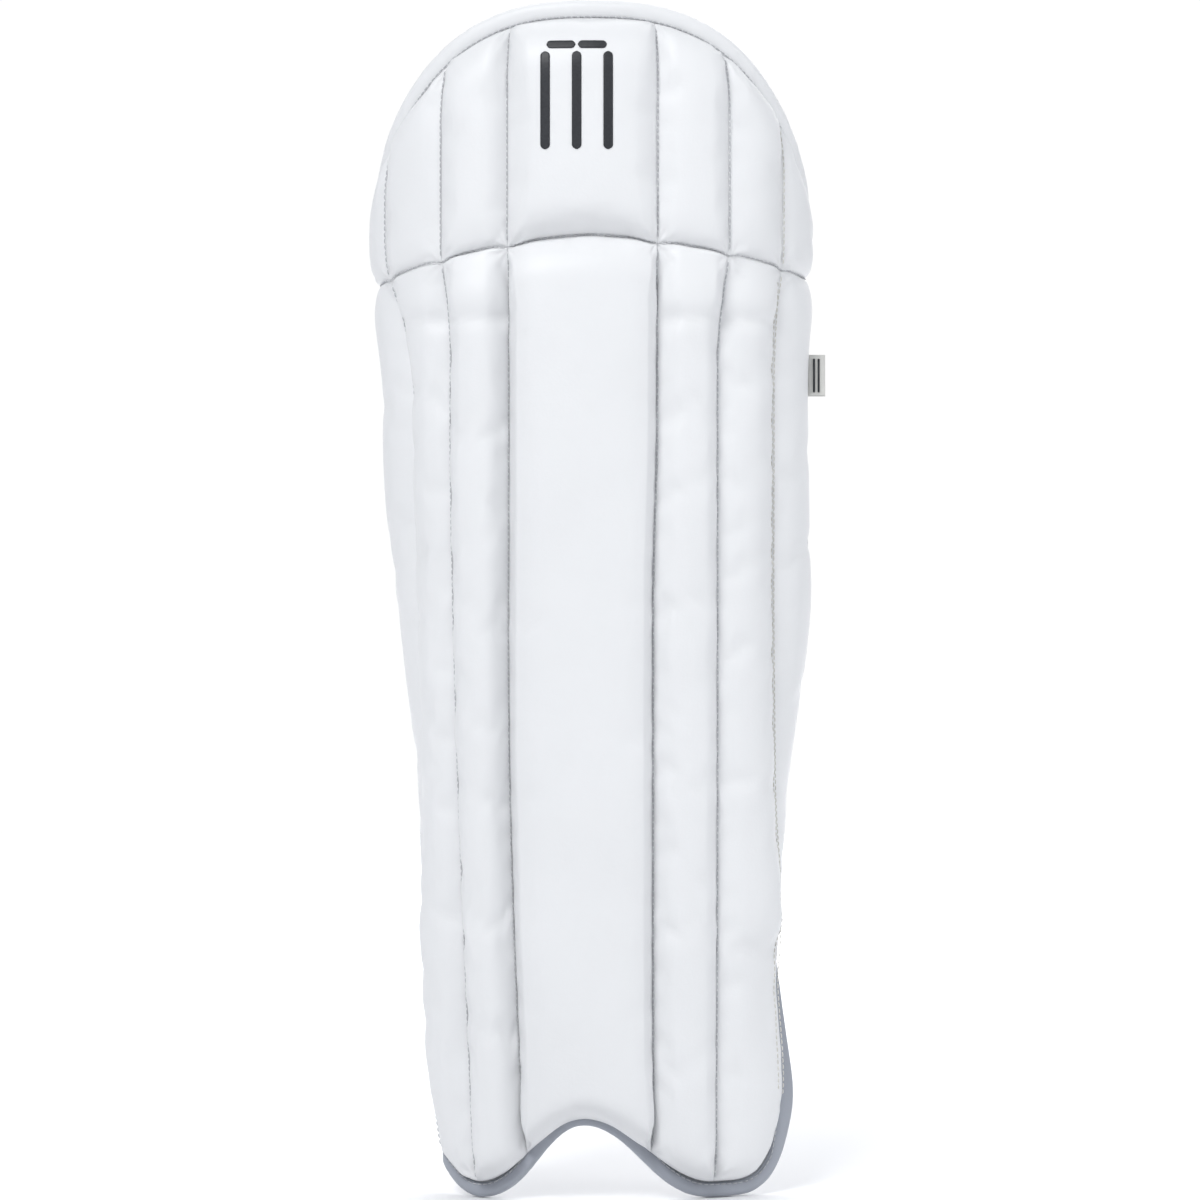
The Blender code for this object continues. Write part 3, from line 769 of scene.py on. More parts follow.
@functools.lru_cache(maxsize=None)
def side_profile(kind, reach):
    """(distance from the seam, share of the full rise, slide towards the seam) up a panel's side."""
    if kind == "proud":
        angles = [math.pi * share / 16 for share in range(9)]
        return [
            (reach * (1 - math.cos(a)), math.sin(a) ** 0.85, -SETBACK * abs(math.sin(2 * a)) ** 0.7)
            for a in angles
        ]
    shares = [(k / 8) ** 1.25 for k in range(9)]
    return [(reach * share, 1 - (1 - share) ** 2.4, 0.0) for share in shares]


FACTS = ("from_low", "from_high", "from_foot", "from_head")


def skin(name, panel, finish):
    """A panel's closed skin, with its distances to its seams kept as attributes, ready to be stuffed."""
    columns, rows = panel.columns(), panel.rows()
    fronts, backs, facts = [], [], []
    for row in rows:
        for column in columns:
            s, z, n, slide, distances = panel.spot(column, row)
            towards = -slide if column[0] == "low" else slide
            fronts.append(place(s, z, n, towards))
            backs.append(place(s, z, BACK_N))
            facts.append(distances)
    faces, edge = closed_grid(len(columns), len(rows))
    thing = piece(name, fronts + backs, faces, finish)
    for k, fact in enumerate(FACTS):
        values = [distances[k] for distances in facts]
        thing.data.attributes.new(fact, "FLOAT", "POINT").data.foreach_set("value", values + values)
    layer = thing.data.attributes.new("front", "FLOAT", "POINT")
    layer.data.foreach_set("value", [1.0] * len(fronts) + [0.0] * len(backs))
    sewn = thing.vertex_groups.new(name="sewn")
    sewn.add(edge + list(range(len(fronts), 2 * len(fronts))), 1.0, "REPLACE")
    crease_rim(thing, set(edge), len(fronts))
    return thing


def crease_rim(thing, edge, count):
    """Keeps the seam line and the back's outline sharp when the skin is subdivided."""
    creases = thing.data.attributes.new("crease_edge", "FLOAT", "EDGE")
    for line in thing.data.edges:
        a, b = sorted(line.vertices)
        on_front = a in edge and b in edge
        on_back = a - count in edge and b - count in edge
        creases.data[line.index].value = 1.0 if on_front or on_back else 0.0


def coordinates(data):
    flat = np.empty(len(data.vertices) * 3, np.float32)
    data.vertices.foreach_get("co", flat)
    return flat.reshape(-1, 3).astype(float)


SIM_SCALE = 10.0  # cloth is simulated at ten times the size, where its solver is steadier
SIM_FRAMES = 20


def stuff(things, pressure, cap, shrink=-0.02):
    """Swells the things as cloth under pressure. No point moves further than cap, in millimetres."""
    scene = bpy.context.scene
    rests = []
    for thing in things:
        rest = coordinates(thing.data)
        rests.append(rest)
        thing.data.vertices.foreach_set("co", (rest * SIM_SCALE).astype(np.float32).ravel())
        cloth = thing.modifiers.new("cloth", "CLOTH").settings
        cloth.quality = 4
        cloth.mass = 0.05
        cloth.tension_stiffness = 25
        cloth.compression_stiffness = 25
        cloth.shear_stiffness = 8
        cloth.bending_stiffness = 0.4
        cloth.air_damping = 4
        cloth.use_pressure = True
        cloth.uniform_pressure_force = pressure
        cloth.vertex_group_mass = "sewn"
        cloth.shrink_min = shrink
        cloth.effector_weights.gravity = 0
    scene.frame_start, scene.frame_end = 1, SIM_FRAMES
    for step in range(1, SIM_FRAMES + 1):
        scene.frame_set(step)
    graph = bpy.context.evaluated_depsgraph_get()
    swollen = [coordinates(thing.evaluated_get(graph).data) / SIM_SCALE for thing in things]
    for thing, rest, moved in zip(things, rests, swollen):
        thing.modifiers.clear()
        move = moved - rest
        far = np.linalg.norm(move, axis=1, keepdims=True)
        limit = cap * MM
        kept = rest + move * (limit * np.tanh(far / limit) / np.maximum(far, 1e-9))
        thing.data.vertices.foreach_set("co", kept.astype(np.float32).ravel())
        print("stuffed", thing.name, "moved up to", round(float(far.max()) / MM, 2), "mm")
    scene.frame_set(1)


def rumple(thing, seed, softness=0.45, gathers=0.35, puckers=1.6, step=0.0):
    """Gathers along the seams, puckers at the corners and soft waves, on a subdivided skin."""
    data = thing.data
    facts = {}
    for fact in (*FACTS, "front"):
        values = np.empty(len(data.vertices), np.float32)
        data.attributes[fact].data.foreach_get("value", values)
        facts[fact] = values
    low, high = facts["from_low"], facts["from_high"]
    foot, head = facts["from_foot"], facts["from_head"]
    side, end = np.minimum(low, high), np.minimum(foot, head)
    free = (1 - np.exp(-side / 1.5)) * (1 - np.exp(-end / 1.5)) * facts["front"]
    normals = [vertex.normal.copy() for vertex in data.vertices]
    phase = seed * 7.3
    for k, vertex in enumerate(data.vertices):
        if free[k] < 0.02:
            continue
        spot = vertex.co / MM
        along = Vector((0, phase, spot.z / 5.5))
        move = gathers * noise.noise(along) * math.exp(-side[k] / 5)
        across = Vector((low[k] / 6.5, phase + 3, 0))
        move += gathers * 1.3 * noise.noise(across) * math.exp(-end[k] / 7)
        reach = math.hypot(side[k], end[k])
        turn = math.atan2(end[k], side[k])
        fold = 0.35 - abs(math.sin(turn * 4.2 + phase + 1.2 * noise.noise(spot / 11)))
        move -= puckers * fold * math.exp(-((reach / 10.0) ** 2)) * clamp(reach / 3)
        move += softness * noise.noise(Vector((spot.x / 38, phase, spot.z / 52)))
        move += 0.18 * softness * noise.noise(Vector((spot.x / 9, phase, spot.z / 12)))
        move -= step * math.exp(-(((spot.z - INSERT_END_Z) / 4.0) ** 2))
        move += 0.5 * step * math.exp(-(((spot.z - INSERT_END_Z - 12) / 8) ** 2))
        vertex.co += normals[k] * float(move * free[k]) * MM
    data.update()


def across_guard(pattern, halves, foot, head, ends, centre=None):
    """The left half's panels, the centre one, and the left half's mirror images."""
    made = {
        pattern.format("left_" + kind): Panel(low_s, high_s, foot, head, thickness, (outer, inner), ends)
        for kind, low_s, high_s, thickness, outer, inner in halves
    }
    if centre:
        thickness, side, crown = centre
        made[pattern.format("centre")] = Panel(
            LEFT_CENTRE, RIGHT_CENTRE, foot, head, thickness, (side, side), ends, crown
        )
    for kind, low_s, high_s, thickness, outer, inner in reversed(halves):
        low_s, high_s = RIGHT_REAR - high_s, RIGHT_REAR - low_s
        made[pattern.format("right_" + kind)] = Panel(
            low_s, high_s, foot, head, thickness, (inner, outer), ends
        )
    return made


def all_panels():
    shin = (
        ("outer", LEFT_WING, LEFT_INNER, OUTER_T, ("proud", 9.0), ("tucked", 13.0)),
        ("inner", LEFT_INNER, LEFT_CENTRE, INNER_T, ("proud", 8.0), ("tucked", 12.0)),
    )
    flap = (
        ("outer", LEFT_WING, LEFT_INNER, FLAP_OUTER_T, ("proud", 9.0), ("tucked", 11.0)),
        ("inner", LEFT_INNER, LEFT_CENTRE, FLAP_SIDE_T, ("proud", 10.0), ("tucked", 12.0)),
    )
    edge = (("edge", LEFT_MID, LEFT_WING, FLAP_EDGE_T, ("tucked", 8.0), ("tucked", 10.0)),)
    wing = (("wing", LEFT_REAR, LEFT_WING, WING_T, ("tucked", 16.0), ("tucked", 20.0)),)
    made = {
        **across_guard(
            "{}", shin, shin_foot, below_knee, (12.0, 20.0), (CENTRE_T, ("proud", 4.5), 0.6)
        ),
        **across_guard(
            "flap_{}", flap, above_knee, dome, (16.0, 26.0), (FLAP_T, ("proud", 12.0), 1.6)
        ),
        **across_guard("flap_{}", edge, above_knee, dome, (12.0, 12.0)),
        **across_guard("{}", wing, wing_foot, below_knee, (18.0, 20.0)),
    }
    made["left_outer"].hem, made["right_outer"].hem = LEFT_HEM, RIGHT_HEM
    return made


# Bodies: shin pieces are attached to the shin's body, flap and wing pieces are baked in place


def on_flap(thing):
    """The flap stays sewn to the shin along the knee seam. Its piece only has its transform baked into its
    mesh.
    """
    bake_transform(thing)


def on_wing(thing):
    """A wing stays sewn along the knee seam. Its piece only has its transform baked into its mesh."""
    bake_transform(thing)


def moved_with(thing, name):
    """Attaches a shin piece to the shin's body; a flap or wing piece goes to on_flap or on_wing, by its name.
    """
    if name.startswith("flap"):
        on_flap(thing)
    elif name.endswith("wing"):
        on_wing(thing)
    else:
        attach(thing, "shin")


def fitted(thing, slot, body, *stands_for):
    """Hides the CAD nodes that a new piece stands for, and hands the piece to moved_with by its body's name.
    The slot is not used.
    """
    if stands_for:
        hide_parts(*stands_for)
    moved_with(thing, body)


# The panels, stuffed

skins = {name: skin(name + "_panel", panel, finishes["cover"]) for name, panel in all_panels().items()}
stuff(list(skins.values()), pressure=6.0, cap=2.5)

STEPPED = ("left_outer", "left_inner", "right_inner", "right_outer")
RAY_START = 60.0  # further in front of the backing than any skin
surfaces = {}
for number, (name, thing) in enumerate(skins.items()):
    final(thing)
    soft = 0.7 if name.startswith("flap") else 0.4
    rumple(thing, number, soft, step=1.8 if name in STEPPED else 0.0)
    surfaces[name] = BVHTree.FromPolygons(
        [vertex.co / MM for vertex in thing.data.vertices],
        [tuple(face.vertices) for face in thing.data.polygons],
    )


def surface_n(name, s, z):
    """How far in front of the backing a panel's finished skin stands at a place."""
    outside = place(s, z, RAY_START)
    hit = surfaces[name].ray_cast(outside, -outward(s, z))[0]
    return SEAM_T if hit is None else max(SEAM_T, RAY_START - (hit - outside).length)


for name, thing in skins.items():
    if name.endswith("wing"):
        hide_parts(name + "_cover", name + "_foam")
    elif name.endswith("edge"):
        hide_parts(name + "_cover")
    else:
        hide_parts(name + "_cover", name + "_filling")
    moved_with(thing, name)


# Boards and linings behind the panels

LINING_T = 0.8
LINING_N = -0.3  # the lining's face against the board
QUILT = 1.1  # how far the lining puffs between the lines of stitching
SEAM_SPACING = 30  # about how far apart the seams are
SHIN_SEAMS = (LEFT_WING, LEFT_INNER, LEFT_CENTRE, RIGHT_CENTRE, RIGHT_INNER, RIGHT_WING)


def layer_grid(name, low_s, high_s, foot, head, faces_n, finish, rows=60):
    """A closed layer between two seam numbers; faces_n(s, z) gives its two faces."""
    columns = steps_between(low_s, high_s, 1 / 12)
    shares = [k / rows for k in range(rows + 1)]
    front, back = [], []
    for share in shares:
        for s in columns:
            z = foot(s) + 0.3 + (head(s) - foot(s) - 0.6) * share
            near, far = faces_n(s, z)
            front.append(place(s, z, near))
            back.append(place(s, z, far))
    faces, _ = closed_grid(len(columns), len(shares))
    return piece(name, front + back, faces, finish)


def quilted(s, z):
    """The two faces of a lining that is sewn down along the seams."""
    nearest = min(abs(s - seam) for seam in range(10)) * SEAM_SPACING
    puff = QUILT * (1 - math.exp(-((nearest / 4.5) ** 2)))
    puff *= 1 + 0.25 * noise.noise(Vector((s * 2.3, z / 26, 5)))
    return LINING_N, LINING_N - LINING_T - puff


def cloth_size(low_s, high_s, foot, head):
    """The width, length and area of the flat cut between two seam numbers, in metres."""
    middle = 0.5 * (foot(low_s) + head(low_s))
    steps = steps_between(low_s, high_s, 0.25)
    strips = [
        (arc(a, b, round(middle)), head(0.5 * (a + b)) - foot(0.5 * (a + b)))
        for a, b in zip(steps, steps[1:])
    ]
    width = sum(step for step, _ in strips)
    length = max(head(s) for s in steps) - min(foot(s) for s in steps)
    return width * MM, length * MM, sum(step * high for step, high in strips) * MM * MM


def line_back():
    spans = (
        ("shin", LEFT_WING, RIGHT_WING, instep, knee_seam, "shin_backing"),
        ("flap", LEFT_MID, RIGHT_MID, knee_seam, dome, "flap_backing"),
        ("left_wing", LEFT_REAR, LEFT_WING, wing_foot, knee_seam, "left_wing_panel"),
        ("right_wing", RIGHT_WING, RIGHT_REAR, wing_foot, knee_seam, "right_wing_panel"),
    )
    for name, low_s, high_s, foot, head, rests_on in spans:
        if "wing" not in name:
            board = layer_grid(
                f"{name}_backing_board", low_s, high_s, foot, head, lambda s, z: BOARD, finishes["board"]
            )
            fitted(board, "board", name, f"{name}_backing")
        lining = layer_grid(f"{name}_lining_cloth", low_s, high_s, foot, head, quilted, finishes["lining"])
        fitted(lining, "lining", name, f"{name}_lining")
        width, length, area = cloth_size(low_s, high_s, foot, head)


line_back()


# Bindings


def tape_section(radius, k, seed, tuck=2.0, wrinkle=0.05):
    """The outline of a rolled binding: round outside, and tucked under the panel's edge inside."""
    outline = []
    for step in range(20):
        angle = math.tau * step / 20
        across, above = math.cos(angle), math.sin(angle)
        size = radius * (1 + wrinkle * noise.noise(Vector((k / 2.2, across * 0.7, seed))))
        reach = size if across > 0 else size + tuck
        outline.append((reach * across, size * math.copysign(abs(above) ** 0.85, above)))
    return outline


def between(values, steps):
    """The values, with straight steps between each two."""
    found = [a + (b - a) * j / steps for a, b in zip(values, values[1:]) for j in range(steps)]
    return found + [values[-1]]


def binding(name, route, n, turn, radius, finish, seed, wrinkle=0.05, reaches=None, tucks=None):
    """A rolled binding beside a route, and the row of its stitches. It covers the edge out to its reach."""
    reaches = reaches or [2 * radius + EDGE_GAP] * len(route)
    edge, outs, ups = rim(route, n, turn * 0.001)
    radii = [radius if reach > 2 * radius else 0.5 * reach + 0.6 for reach in reaches]
    centres = [spot + out * (reach - size) for spot, out, reach, size in zip(edge, outs, reaches, radii)]
    fine = refined(centres, 3), eased(outs, 3), eased(ups, 3)
    sizes = between(radii, 3)
    tucks = between(tucks or [2.0] * len(route), 3)
    thing = sweep(
        name, fine[0], fine[1], fine[2],
        lambda k: tape_section(sizes[k], k, seed, tucks[k], wrinkle), finish,
    )
    row = [
        (centre - out * (size + tuck - 1.1) + up * (0.35 * size + 1.2), up)
        for centre, out, up, size, tuck in zip(*fine, sizes, tucks)
    ]
    return final(thing), row


def instep_reach(s, z):
    """How far the grey binding stands out: most at the lobes, less up the sides and over the arch."""
    if s in (LEFT_WING, RIGHT_WING):
        return 4.4 + 3.2 * ease((140 - z) / 90)
    over_arch = LEFT_INNER < s < RIGHT_INNER
    return 7.6 - 3.0 * ease((z - LOBE_Z) / INSTEP_ARCH) * over_arch


def seam_route(s, low, high, step=6.0):
    return [(s, z) for z in steps_between(low, high, step)]


def bind_edges():
    shares = 12
    across = [
        (RIGHT_WING - k / shares, instep(RIGHT_WING - k / shares))
        for k in range(shares * (RIGHT_WING - LEFT_WING) + 1)
    ]
    route = seam_route(RIGHT_WING, 138, 72, 12) + across + seam_route(LEFT_WING, 72, 138, 12)
    thing, shin_row = binding(
        "grey_instep_binding", route, 0.5, -1, INSTEP_BINDING_RADIUS, finishes["instep"], 1,
        reaches=[instep_reach(s, z) for s, z in route],
        tucks=[2.0 + 1.4 * drawn_in(s, z) for s, z in route],
    )
    fitted(thing, "instep_binding", "shin", "instep_binding")

    over = [(LEFT_MID + k / 8, dome(LEFT_MID + k / 8)) for k in range(8 * (RIGHT_MID - LEFT_MID) + 1)]
    route = seam_route(LEFT_MID, 488, 514, 9) + over + seam_route(RIGHT_MID, 514, 488, 9)
    thing, flap_row = binding(
        "white_flap_binding", route, 1.0, -1, TOP_BINDING_RADIUS, finishes["binding"], 2, 0.07
    )
    fitted(thing, "binding", "flap", "flap_binding")

    wing_rows = {}
    for side, rear, seam, turn in (("left", LEFT_REAR, LEFT_WING, 1), ("right", RIGHT_REAR, RIGHT_WING, -1)):
        down = [(rear, z) for z in (480, 440, 400, 360, 320, 280, 240, 215, 200, 188)]
        foot = [
            (seam + (rear - seam) * share, wing_foot(seam + (rear - seam) * share))
            for share in (1, 0.85, 0.7, 0.55, 0.4, 0.25, 0.08)
        ]
        thing, row = binding(
            f"{side}_wing_edge_binding", down + foot, 0.5, turn, WING_BINDING_RADIUS, finishes["binding"], 3
        )
        fitted(thing, "binding", f"{side}_wing", f"{side}_wing_binding")
        wing_rows[side] = row
    return shin_row, flap_row, wing_rows


shin_row, flap_row, wing_rows = bind_edges()


# Seams


def valley_stitch(s, z):
    """A stitch's place and outward direction on a seam."""
    return place(s, z, valley(s, z) + STITCH_LIFT, -drawn_in(s, z)), outward(s, z)


def seam_row(s, foot, head, inset=3.0):
    return [valley_stitch(s, z) for z in steps_between(foot(s) + inset, head(s) - inset, 6.0)]


def surface_row(name, s, slide, foot, head, inset=6.0):
    """A row of stitches on a panel's finished skin, beside its seam."""
    row = []
    for z in steps_between(foot(s) + inset, head(s) - inset, 5.0):
        beside = s + (slide - drawn_in(s, z)) / SEAM_SPACING
        row.append((place(beside, z, surface_n(name, beside, z) + 0.05), outward(s, z)))
    return row


def sew():
    knee = [
        valley_stitch(s, knee_seam(s)) for s in steps_between(LEFT_MID + 0.1, RIGHT_MID - 0.1, 0.1)
    ]
    shin_seams = [seam_row(s, instep, knee_seam) for s in SHIN_SEAMS]
    flap_seams = [seam_row(s, knee_seam, dome) for s in SHIN_SEAMS]
    beside_edge = surface_row("right_outer", RIGHT_WING, -1.9, instep, knee_seam)
    sewn = [
        ("shin_seam_stitches", "shin", "thread", [*shin_seams[:-1], knee, shin_row]),
        ("right_edge_stitches", "shin", "beige", [shin_seams[-1], beside_edge]),
        ("flap_edge_stitches", "flap", "beige", flap_seams[-1:]),
        ("flap_seam_stitches", "flap", "thread", [*flap_seams[:-1], flap_row]),
    ]
    sewn += [
        (f"{side}_wing_edge_stitches", f"{side}_wing", "thread", [row]) for side, row in wing_rows.items()
    ]
    for name, body, colour, rows in sewn:
        fitted(stitches(name, rows, finishes[colour]), "cover", body)


sew()


# Pads against the leg


PAD_CELL = 3.2


def pad(cad_node, pinches):
    """A towelling pad in its CAD block's place, sewn down across at the pinches, shares of its height."""
    low, high = node_box(cad_node)
    width, height = high.x - low.x, high.z - low.z
    columns = steps_between(0, 1, PAD_CELL / width)
    rows = steps_between(0, 1, PAD_CELL / height)
    fronts, backs = [], []
    for row in rows:
        for column in columns:
            side = min(column, 1 - column) * width
            end = min(row, 1 - row) * height
            crowned = roll(side, 13.0) * roll(end, 13.0)
            pinch = min([1.0, *(0.45 + 0.55 * roll(abs(row - at) * height, 14.0) for at in pinches)])
            corner = 5.0 * (1 - roll(side, 9.0)) * (1 - roll(end, 9.0))
            pull = 2.4 * (1 - pinch) * (1 - 2 * column)
            x = low.x + width * column + (corner if column < 0.5 else -corner) + pull
            z = low.z + height * row + (corner if row < 0.5 else -corner)
            deep = (high.y - low.y - 1.6) * (0.28 + 0.62 * crowned * pinch)
            backs.append(Vector((x, low.y + 0.2, z)))
            fronts.append(Vector((x, low.y + 0.2 + deep, z)))
    faces, edge = closed_grid(len(columns), len(rows))
    thing = piece(cad_node + "_pad", fronts + backs, faces, finishes["towelling"])
    held = set(edge) | set(range(len(fronts), 2 * len(fronts)))
    for k, row in enumerate(rows):
        if any(abs(row - at) * height < 2 for at in pinches):
            held |= {k * len(columns) + column for column in range(len(columns))}
    thing.vertex_groups.new(name="sewn").add(sorted(held), 1.0, "REPLACE")
    return thing


def pile(thing, seed):
    """The uneven surface of looped towelling."""
    normals = [vertex.normal.copy() for vertex in thing.data.vertices]
    for vertex, normal in zip(thing.data.vertices, normals):
        spot = vertex.co / MM
        move = 0.35 * noise.noise(spot / 2.1 + Vector((seed, 0, 0))) + 0.25 * noise.noise(spot / 6.5)
        vertex.co += normal * move * MM
    thing.data.update()


def pad_leg():
    kinds = (
        ("shin_bolster_left", (0.25, 0.5, 0.75), "shin", 0.7),
        ("shin_bolster_right", (0.25, 0.5, 0.75), "shin", 0.7),
        ("knee_bolster", (), "shin", 0.75),
        ("knee_cup", (0.5,), "flap", 0.6),
    )
    made = [pad(cad_node, pinches) for cad_node, pinches, _, _ in kinds]
    stuff(made, pressure=5.0, cap=1.4)
    for seed, (thing, (cad_node, _, body, fill)) in enumerate(zip(made, kinds)):
        final(thing)
        pile(thing, seed)
        fitted(thing, "towelling", body, cad_node)


pad_leg()


# Straps

# A tape's outline, as shares of its width and thickness: one long side, then the other
ROUNDED = (
    (0.5, 0.0), (0.49, 0.3), (0.46, 0.48), (0.3, 0.5), (0.0, 0.5), (-0.3, 0.5), (-0.46, 0.48), (-0.49, 0.3)
)
OUTLINE = ROUNDED + tuple((-a, -b) for a, b in ROUNDED)
BOX_INSET = 3.0  # from a sewn-down tape's edge to its stitches
LOOP_T = 1.0
LOOP_MARGIN = 6.0  # how much wider than the webbing the loop tape is


def sideways(route):
    """The level direction to the left of a level route, at each of its points."""
    found = []
    for k in range(len(route)):
        along = route[min(k + 1, len(route) - 1)] - route[max(k - 1, 0)]
        found.append(Vector((-along.y, along.x, 0)).normalized())
    return found


def tape(name, centres, outs, width, thickness, finish):
    """A flat tape on edge: its width runs up, and its thickness outward."""
    up = Vector((0, 0, 1))
    return sweep(
        name, centres, outs, [up] * len(centres),
        lambda k: [(thickness * across, width * along) for along, across in OUTLINE], finish,
    )


def patch(name, wing, seam_range, middle, lift, thickness, width, finish):
    """A tape that lies on a wing's finished skin."""
    centres, outs = [], []
    for s in steps_between(*seam_range, 0.03):
        top = max(surface_n(wing, s, middle + width * share) for share in (-0.45, -0.2, 0, 0.2, 0.45))
        centres.append(place(s, middle, top + lift + thickness / 2))
        outs.append(outward(s, middle))
    return tape(name, centres, outs, width, thickness, finish), centres, outs


def box_stitches(name, centres, outs, width):
    """Stitches round a sewn-down tape, and a cross over it."""
    half = width / 2 - BOX_INSET
    span = len(centres) - 2
    inner = range(1, span + 1)

    def at(k, height):
        return centres[k] + outs[k] * (WEBBING / 2 + 0.05) + Vector((0, 0, height)), outs[k]

    rows = [[at(k, height) for k in inner] for height in (half, -half)]
    rows += [[at(k, height) for height in (-half, 0, half)] for k in (1, span)]
    rows += [[at(k, side * half * (2 * (k - 1) / (span - 1) - 1)) for k in inner] for side in (1, -1)]
    return stitches(name, rows, finishes["thread"])


def strap_route(start, end, z):
    """The plan route of a strap behind the leg, from its anchor's end to its tab's start."""
    corners = []
    for s, beside in ((LEFT_REAR, LEFT_REAR + 0.02), (RIGHT_REAR, RIGHT_REAR - 0.02)):
        edge, normal, _ = plan(s, z)
        rearward = (edge - plan(beside, z)[0]).normalized()
        corners.append(edge + rearward * STRAP_CLEARANCE + normal * 1.5)
    middle = (corners[0] + corners[1]) / 2 + Vector((0, STRAP_BOW))
    return [start, corners[0], middle, corners[1], end]


def anchor_strap(name, middle, width):
    """Sews a strap's end to the left wing, and gives the place where its webbing starts."""
    anchor, centres, outs = patch(
        name + "_anchor_tape", "left_wing", ANCHOR_RANGE, middle, 0.25, WEBBING, width, finishes["webbing"]
    )
    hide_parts(name + "_anchor")
    sewn = box_stitches(name + "_anchor_stitches", centres, outs, width)
    for thing in (anchor, sewn):
        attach(thing, "left_wing")
    return centres[0]


def fasten_strap(name, middle, width):
    """Lays the loop tape and the hook tab on the right wing, and gives the tab's near end."""
    reach = (TAB_RANGE[0] - 0.02, TAB_RANGE[1] + 0.02)
    loop, _, _ = patch(
        name + "_loop_tape", "right_wing", reach, middle, 0.1, LOOP_T, width + LOOP_MARGIN, finishes["loop"]
    )
    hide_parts(name + "_loop_patch")
    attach(loop, "right_wing")
    tab, centres, outs = patch(
        name + "_hook_tab", "right_wing", TAB_RANGE, middle, 1.5, WEBBING, width, finishes["webbing"]
    )
    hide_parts(name + "_tab")
    end = centres[-1]
    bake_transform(tab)
    sewn = box_stitches(name + "_tab_stitches", centres[2:], outs[2:], width)
    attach(sewn, f"{name}_tab")
    return end


def strap_up():
    for name in ("calf", "ankle"):
        low, high = node_box(name + "_strap")
        middle, width = 0.5 * (low.z + high.z), high.z - low.z
        start = anchor_strap(name, middle, width)
        end = fasten_strap(name, middle, width)
        stops = strap_route(start.xy, end.xy, middle)
        route = [Vector((*spot, middle)) for spot in refined(stops, 14)]
        strap = tape(name + "_strap_webbing", route, sideways(route), width, WEBBING, finishes["webbing"])
        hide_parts(name + "_strap")
        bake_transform(strap)


strap_up()


# Label and emblem


LABEL_TUCK = 2.0  # how far the label's root goes into the wing's edge
LEAF_T = 0.45
# The folded label from above: (share of its reach, distance from its middle)
LABEL_FOLD = ((0.0, 0.35), (0.5, 0.5), (0.92, 0.62), (1.0, 0.0), (0.92, -0.62), (0.5, -0.5), (0.0, -0.35))
STRIPES = (0.36, 0.62)
STRIPE_WIDTH = 1.1
STRIPE_MARGIN = 2.2
PRINT_CELL = 0.8
STUMP_WIDTH = 5.0
BAIL_HEIGHT = 4.2
BAIL_GAP = 1.6


def stripe(x, y, low_z, high_z):
    """A thin upright bar on the label's front leaf."""
    half = STRIPE_WIDTH / 2
    corners = [
        Vector((x + a, y + b, z)) for z in (low_z, high_z)
        for a, b in ((-half, 0.15), (half, 0.15), (-half, 0.0), (half, 0.0))
    ]
    faces = [(0, 1, 3, 2), (4, 6, 7, 5), (0, 2, 6, 4), (1, 5, 7, 3), (2, 3, 7, 6), (0, 4, 5, 1)]
    return piece("stripe", corners, faces, finishes["print"])


def label():
    """A folded woven label, blank but for two plain woven stripes."""
    low, high = node_box("side_label")
    left, reach = low.x - LABEL_TUCK, high.x - low.x
    middle_y = 0.5 * (low.y + high.y)
    outer = refined([Vector((left + reach * a, middle_y + b, 0)) for a, b in LABEL_FOLD], 3)
    heights = [Vector((0, 0, z)) for z in steps_between(low.z, high.z, 1.5)]
    inner = [spot - out * LEAF_T for spot, out in zip(outer, sideways(outer))]
    points = [spot + height for leaf in (outer, inner) for height in heights for spot in leaf]
    faces, _ = closed_grid(len(outer), len(heights))
    fitted(piece("side_label_tape", points, faces, finishes["label"]), "label", "right_wing", "side_label")
    stripes = []
    for at in STRIPES:
        x = left + reach * at
        y = min(spot.y for spot in outer if abs(spot.x - x) < 1.5) - 0.62
        stripes.append(stripe(x, y, low.z + STRIPE_MARGIN, high.z - STRIPE_MARGIN))
    fitted(joined("side_label_stripes", stripes), "emblem", "right_wing")


label()


def rounded(offset, length, radius):
    """How much narrower a bar with round ends is, this far from its middle."""
    over = max(0.0, abs(offset) - (length / 2 - radius))
    return math.sqrt(max(0.04, 1 - (over / radius) ** 2))


def bar(x, z, wide, tall):
    """A print with rounded ends that lies on the flap's centre panel."""
    radius = 0.5 * min(wide, tall)
    columns = steps_between(-0.5, 0.5, PRINT_CELL / wide)
    rows = steps_between(-0.5, 0.5, PRINT_CELL / tall)
    front, back = [], []
    for row in rows:
        for column in columns:
            dx, dz = column * wide, row * tall
            if tall >= wide:
                dx *= rounded(dz, tall, radius)
            else:
                dz *= rounded(dx, wide, radius)
            spot = surfaces["flap_centre"].ray_cast(Vector((x + dx, -200, z + dz)), Vector((0, 1, 0)))[0]
            front.append(spot + Vector((0, -0.35, 0)))
            back.append(spot + Vector((0, 0.3, 0)))
    faces, _ = closed_grid(len(columns), len(rows))
    return piece("bar", front + back, faces, finishes["print"])


def emblem():
    """A generic wicket: three stumps under two bails."""
    low, high = node_box("emblem")
    middle = 0.5 * (low.x + high.x)
    pitch = 0.5 * (high.x - low.x - STUMP_WIDTH)
    top = high.z - BAIL_HEIGHT - BAIL_GAP
    bars = [
        bar(middle + (k - 1) * pitch, 0.5 * (low.z + top), STUMP_WIDTH, top - low.z) for k in range(3)
    ]
    bars += [
        bar(middle + (k - 0.5) * pitch, high.z - BAIL_HEIGHT / 2, pitch - 1.4, BAIL_HEIGHT) for k in range(2)
    ]
    fitted(joined("wicket_emblem", bars), "emblem", "flap", "emblem")


emblem()
finish_nodes()


# The studio: camera, lights, floor

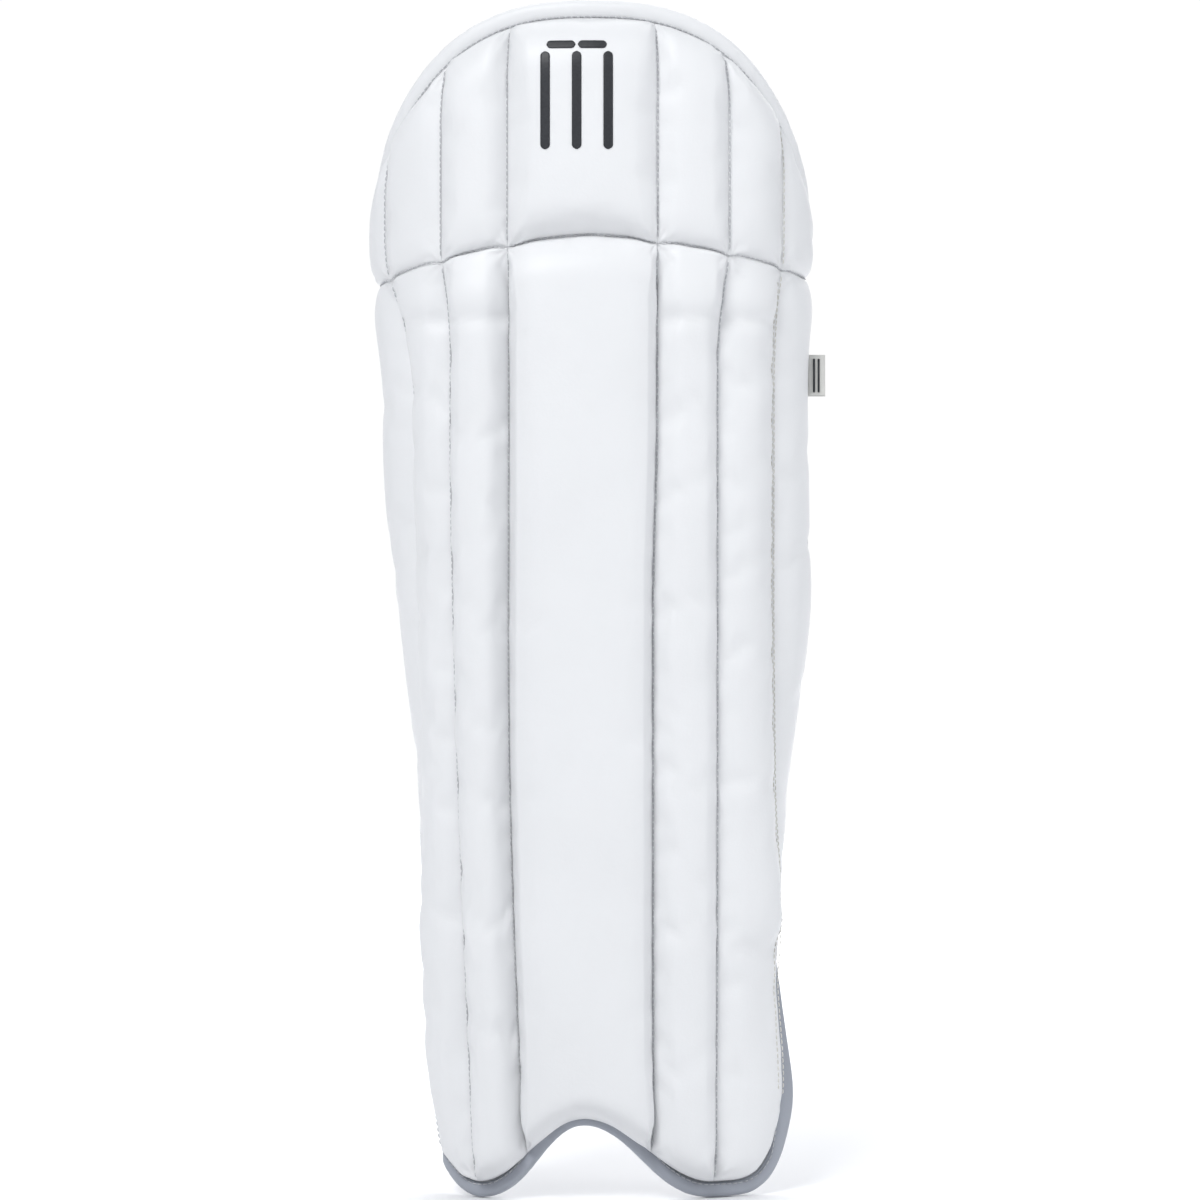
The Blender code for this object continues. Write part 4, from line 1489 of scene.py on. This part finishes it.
VIEW_DISTANCE = 2.4
VIEW_X = 0.0053  # the camera stands a little to the right of the leg's axis
VIEW_MARGIN = 1.0024  # the view's height over the guard's
SENSOR = 36.0
MIDDLE_Z = 0.5 * (cad_low.z + cad_high.z)
FLOOR_HALF = 3.6
FLOOR_COLOURS = (0.84, 0.84, 0.85), (0.86, 0.86, 0.87)
SKY = (0.39, 0.41, 0.44)  # all round, but for a white glow straight behind the guard
GLOW = (1.02, 1.02, 1.02)
WIDE = math.pi
NARROW = math.radians(100)  # keeps the light over the floor off the guard

LAMPS = (  # name, place, target, size, power, spread
    ("key", (-0.8, -1.9, 2.1), (0, 0, MIDDLE_Z + 0.2), 1.0, 42.0, WIDE),
    ("fill", (2.0, -0.9, 1.1), (0, 0, MIDDLE_Z + 0.1), 1.2, 12.0, WIDE),
    ("overhead", (0, 3.1, 2.6), (0, 3.1, 0), 4.0, 130.0, NARROW),
    ("rear", (0.9, 1.9, 1.5), (0, 0, MIDDLE_Z), 1.2, 9.0, WIDE),
)


def aimed(name, data, spot, target):
    """A camera or a lamp at a spot, turned towards a target."""
    thing = bpy.data.objects.new(name, data)
    bpy.context.scene.collection.objects.link(thing)
    thing.location = spot
    thing.rotation_euler = (Vector(target) - Vector(spot)).to_track_quat("-Z", "Y").to_euler()
    return thing


def camera():
    lens = bpy.data.cameras.new("camera")
    lens.sensor_width = SENSOR
    lens.lens = SENSOR * (VIEW_DISTANCE + FRONT_Y * MM) / ((cad_high.z - cad_low.z) * VIEW_MARGIN)
    bpy.context.scene.camera = aimed(
        "camera", lens, (VIEW_X, -VIEW_DISTANCE, MIDDLE_Z), (VIEW_X, 0, MIDDLE_Z)
    )


def lamps():
    for name, spot, target, size, power, spread in LAMPS:
        data = bpy.data.lights.new(name, "AREA")
        data.size = size
        data.energy = power
        data.spread = spread
        aimed(name, data, spot, target)


def ground():
    half = FLOOR_HALF / MM
    corners = [
        Vector((x * half, y * half, cad_low.z / MM - 0.3)) for x, y in ((-1, -1), (1, -1), (1, 1), (-1, 1))
    ]
    finish, tree, principled = shader("studio_floor", (0.85, 0.85, 0.86), 0.9)
    speckle = textured(tree, "TexNoise", 3.0)
    tint(tree, principled, speckle.outputs["Fac"], 0.0, 1.0, *FLOOR_COLOURS)
    piece("floor", corners, [(0, 1, 2, 3)], finish)


def sky():
    world = bpy.data.worlds.new("studio")
    world.use_nodes = True
    tree = world.node_tree
    heading = node(tree, "SeparateXYZ")
    tree.links.new(node(tree, "TexCoord").outputs["Generated"], heading.inputs["Vector"])
    glow = ramp(tree, heading.outputs["Y"], 0.5, 0.93, SKY, GLOW)
    tree.links.new(glow, tree.nodes["Background"].inputs["Color"])
    bpy.context.scene.world = world
    bpy.context.scene.view_settings.view_transform = "Standard"
    bpy.context.scene.view_settings.look = "None"


camera()
lamps()
ground()
sky()
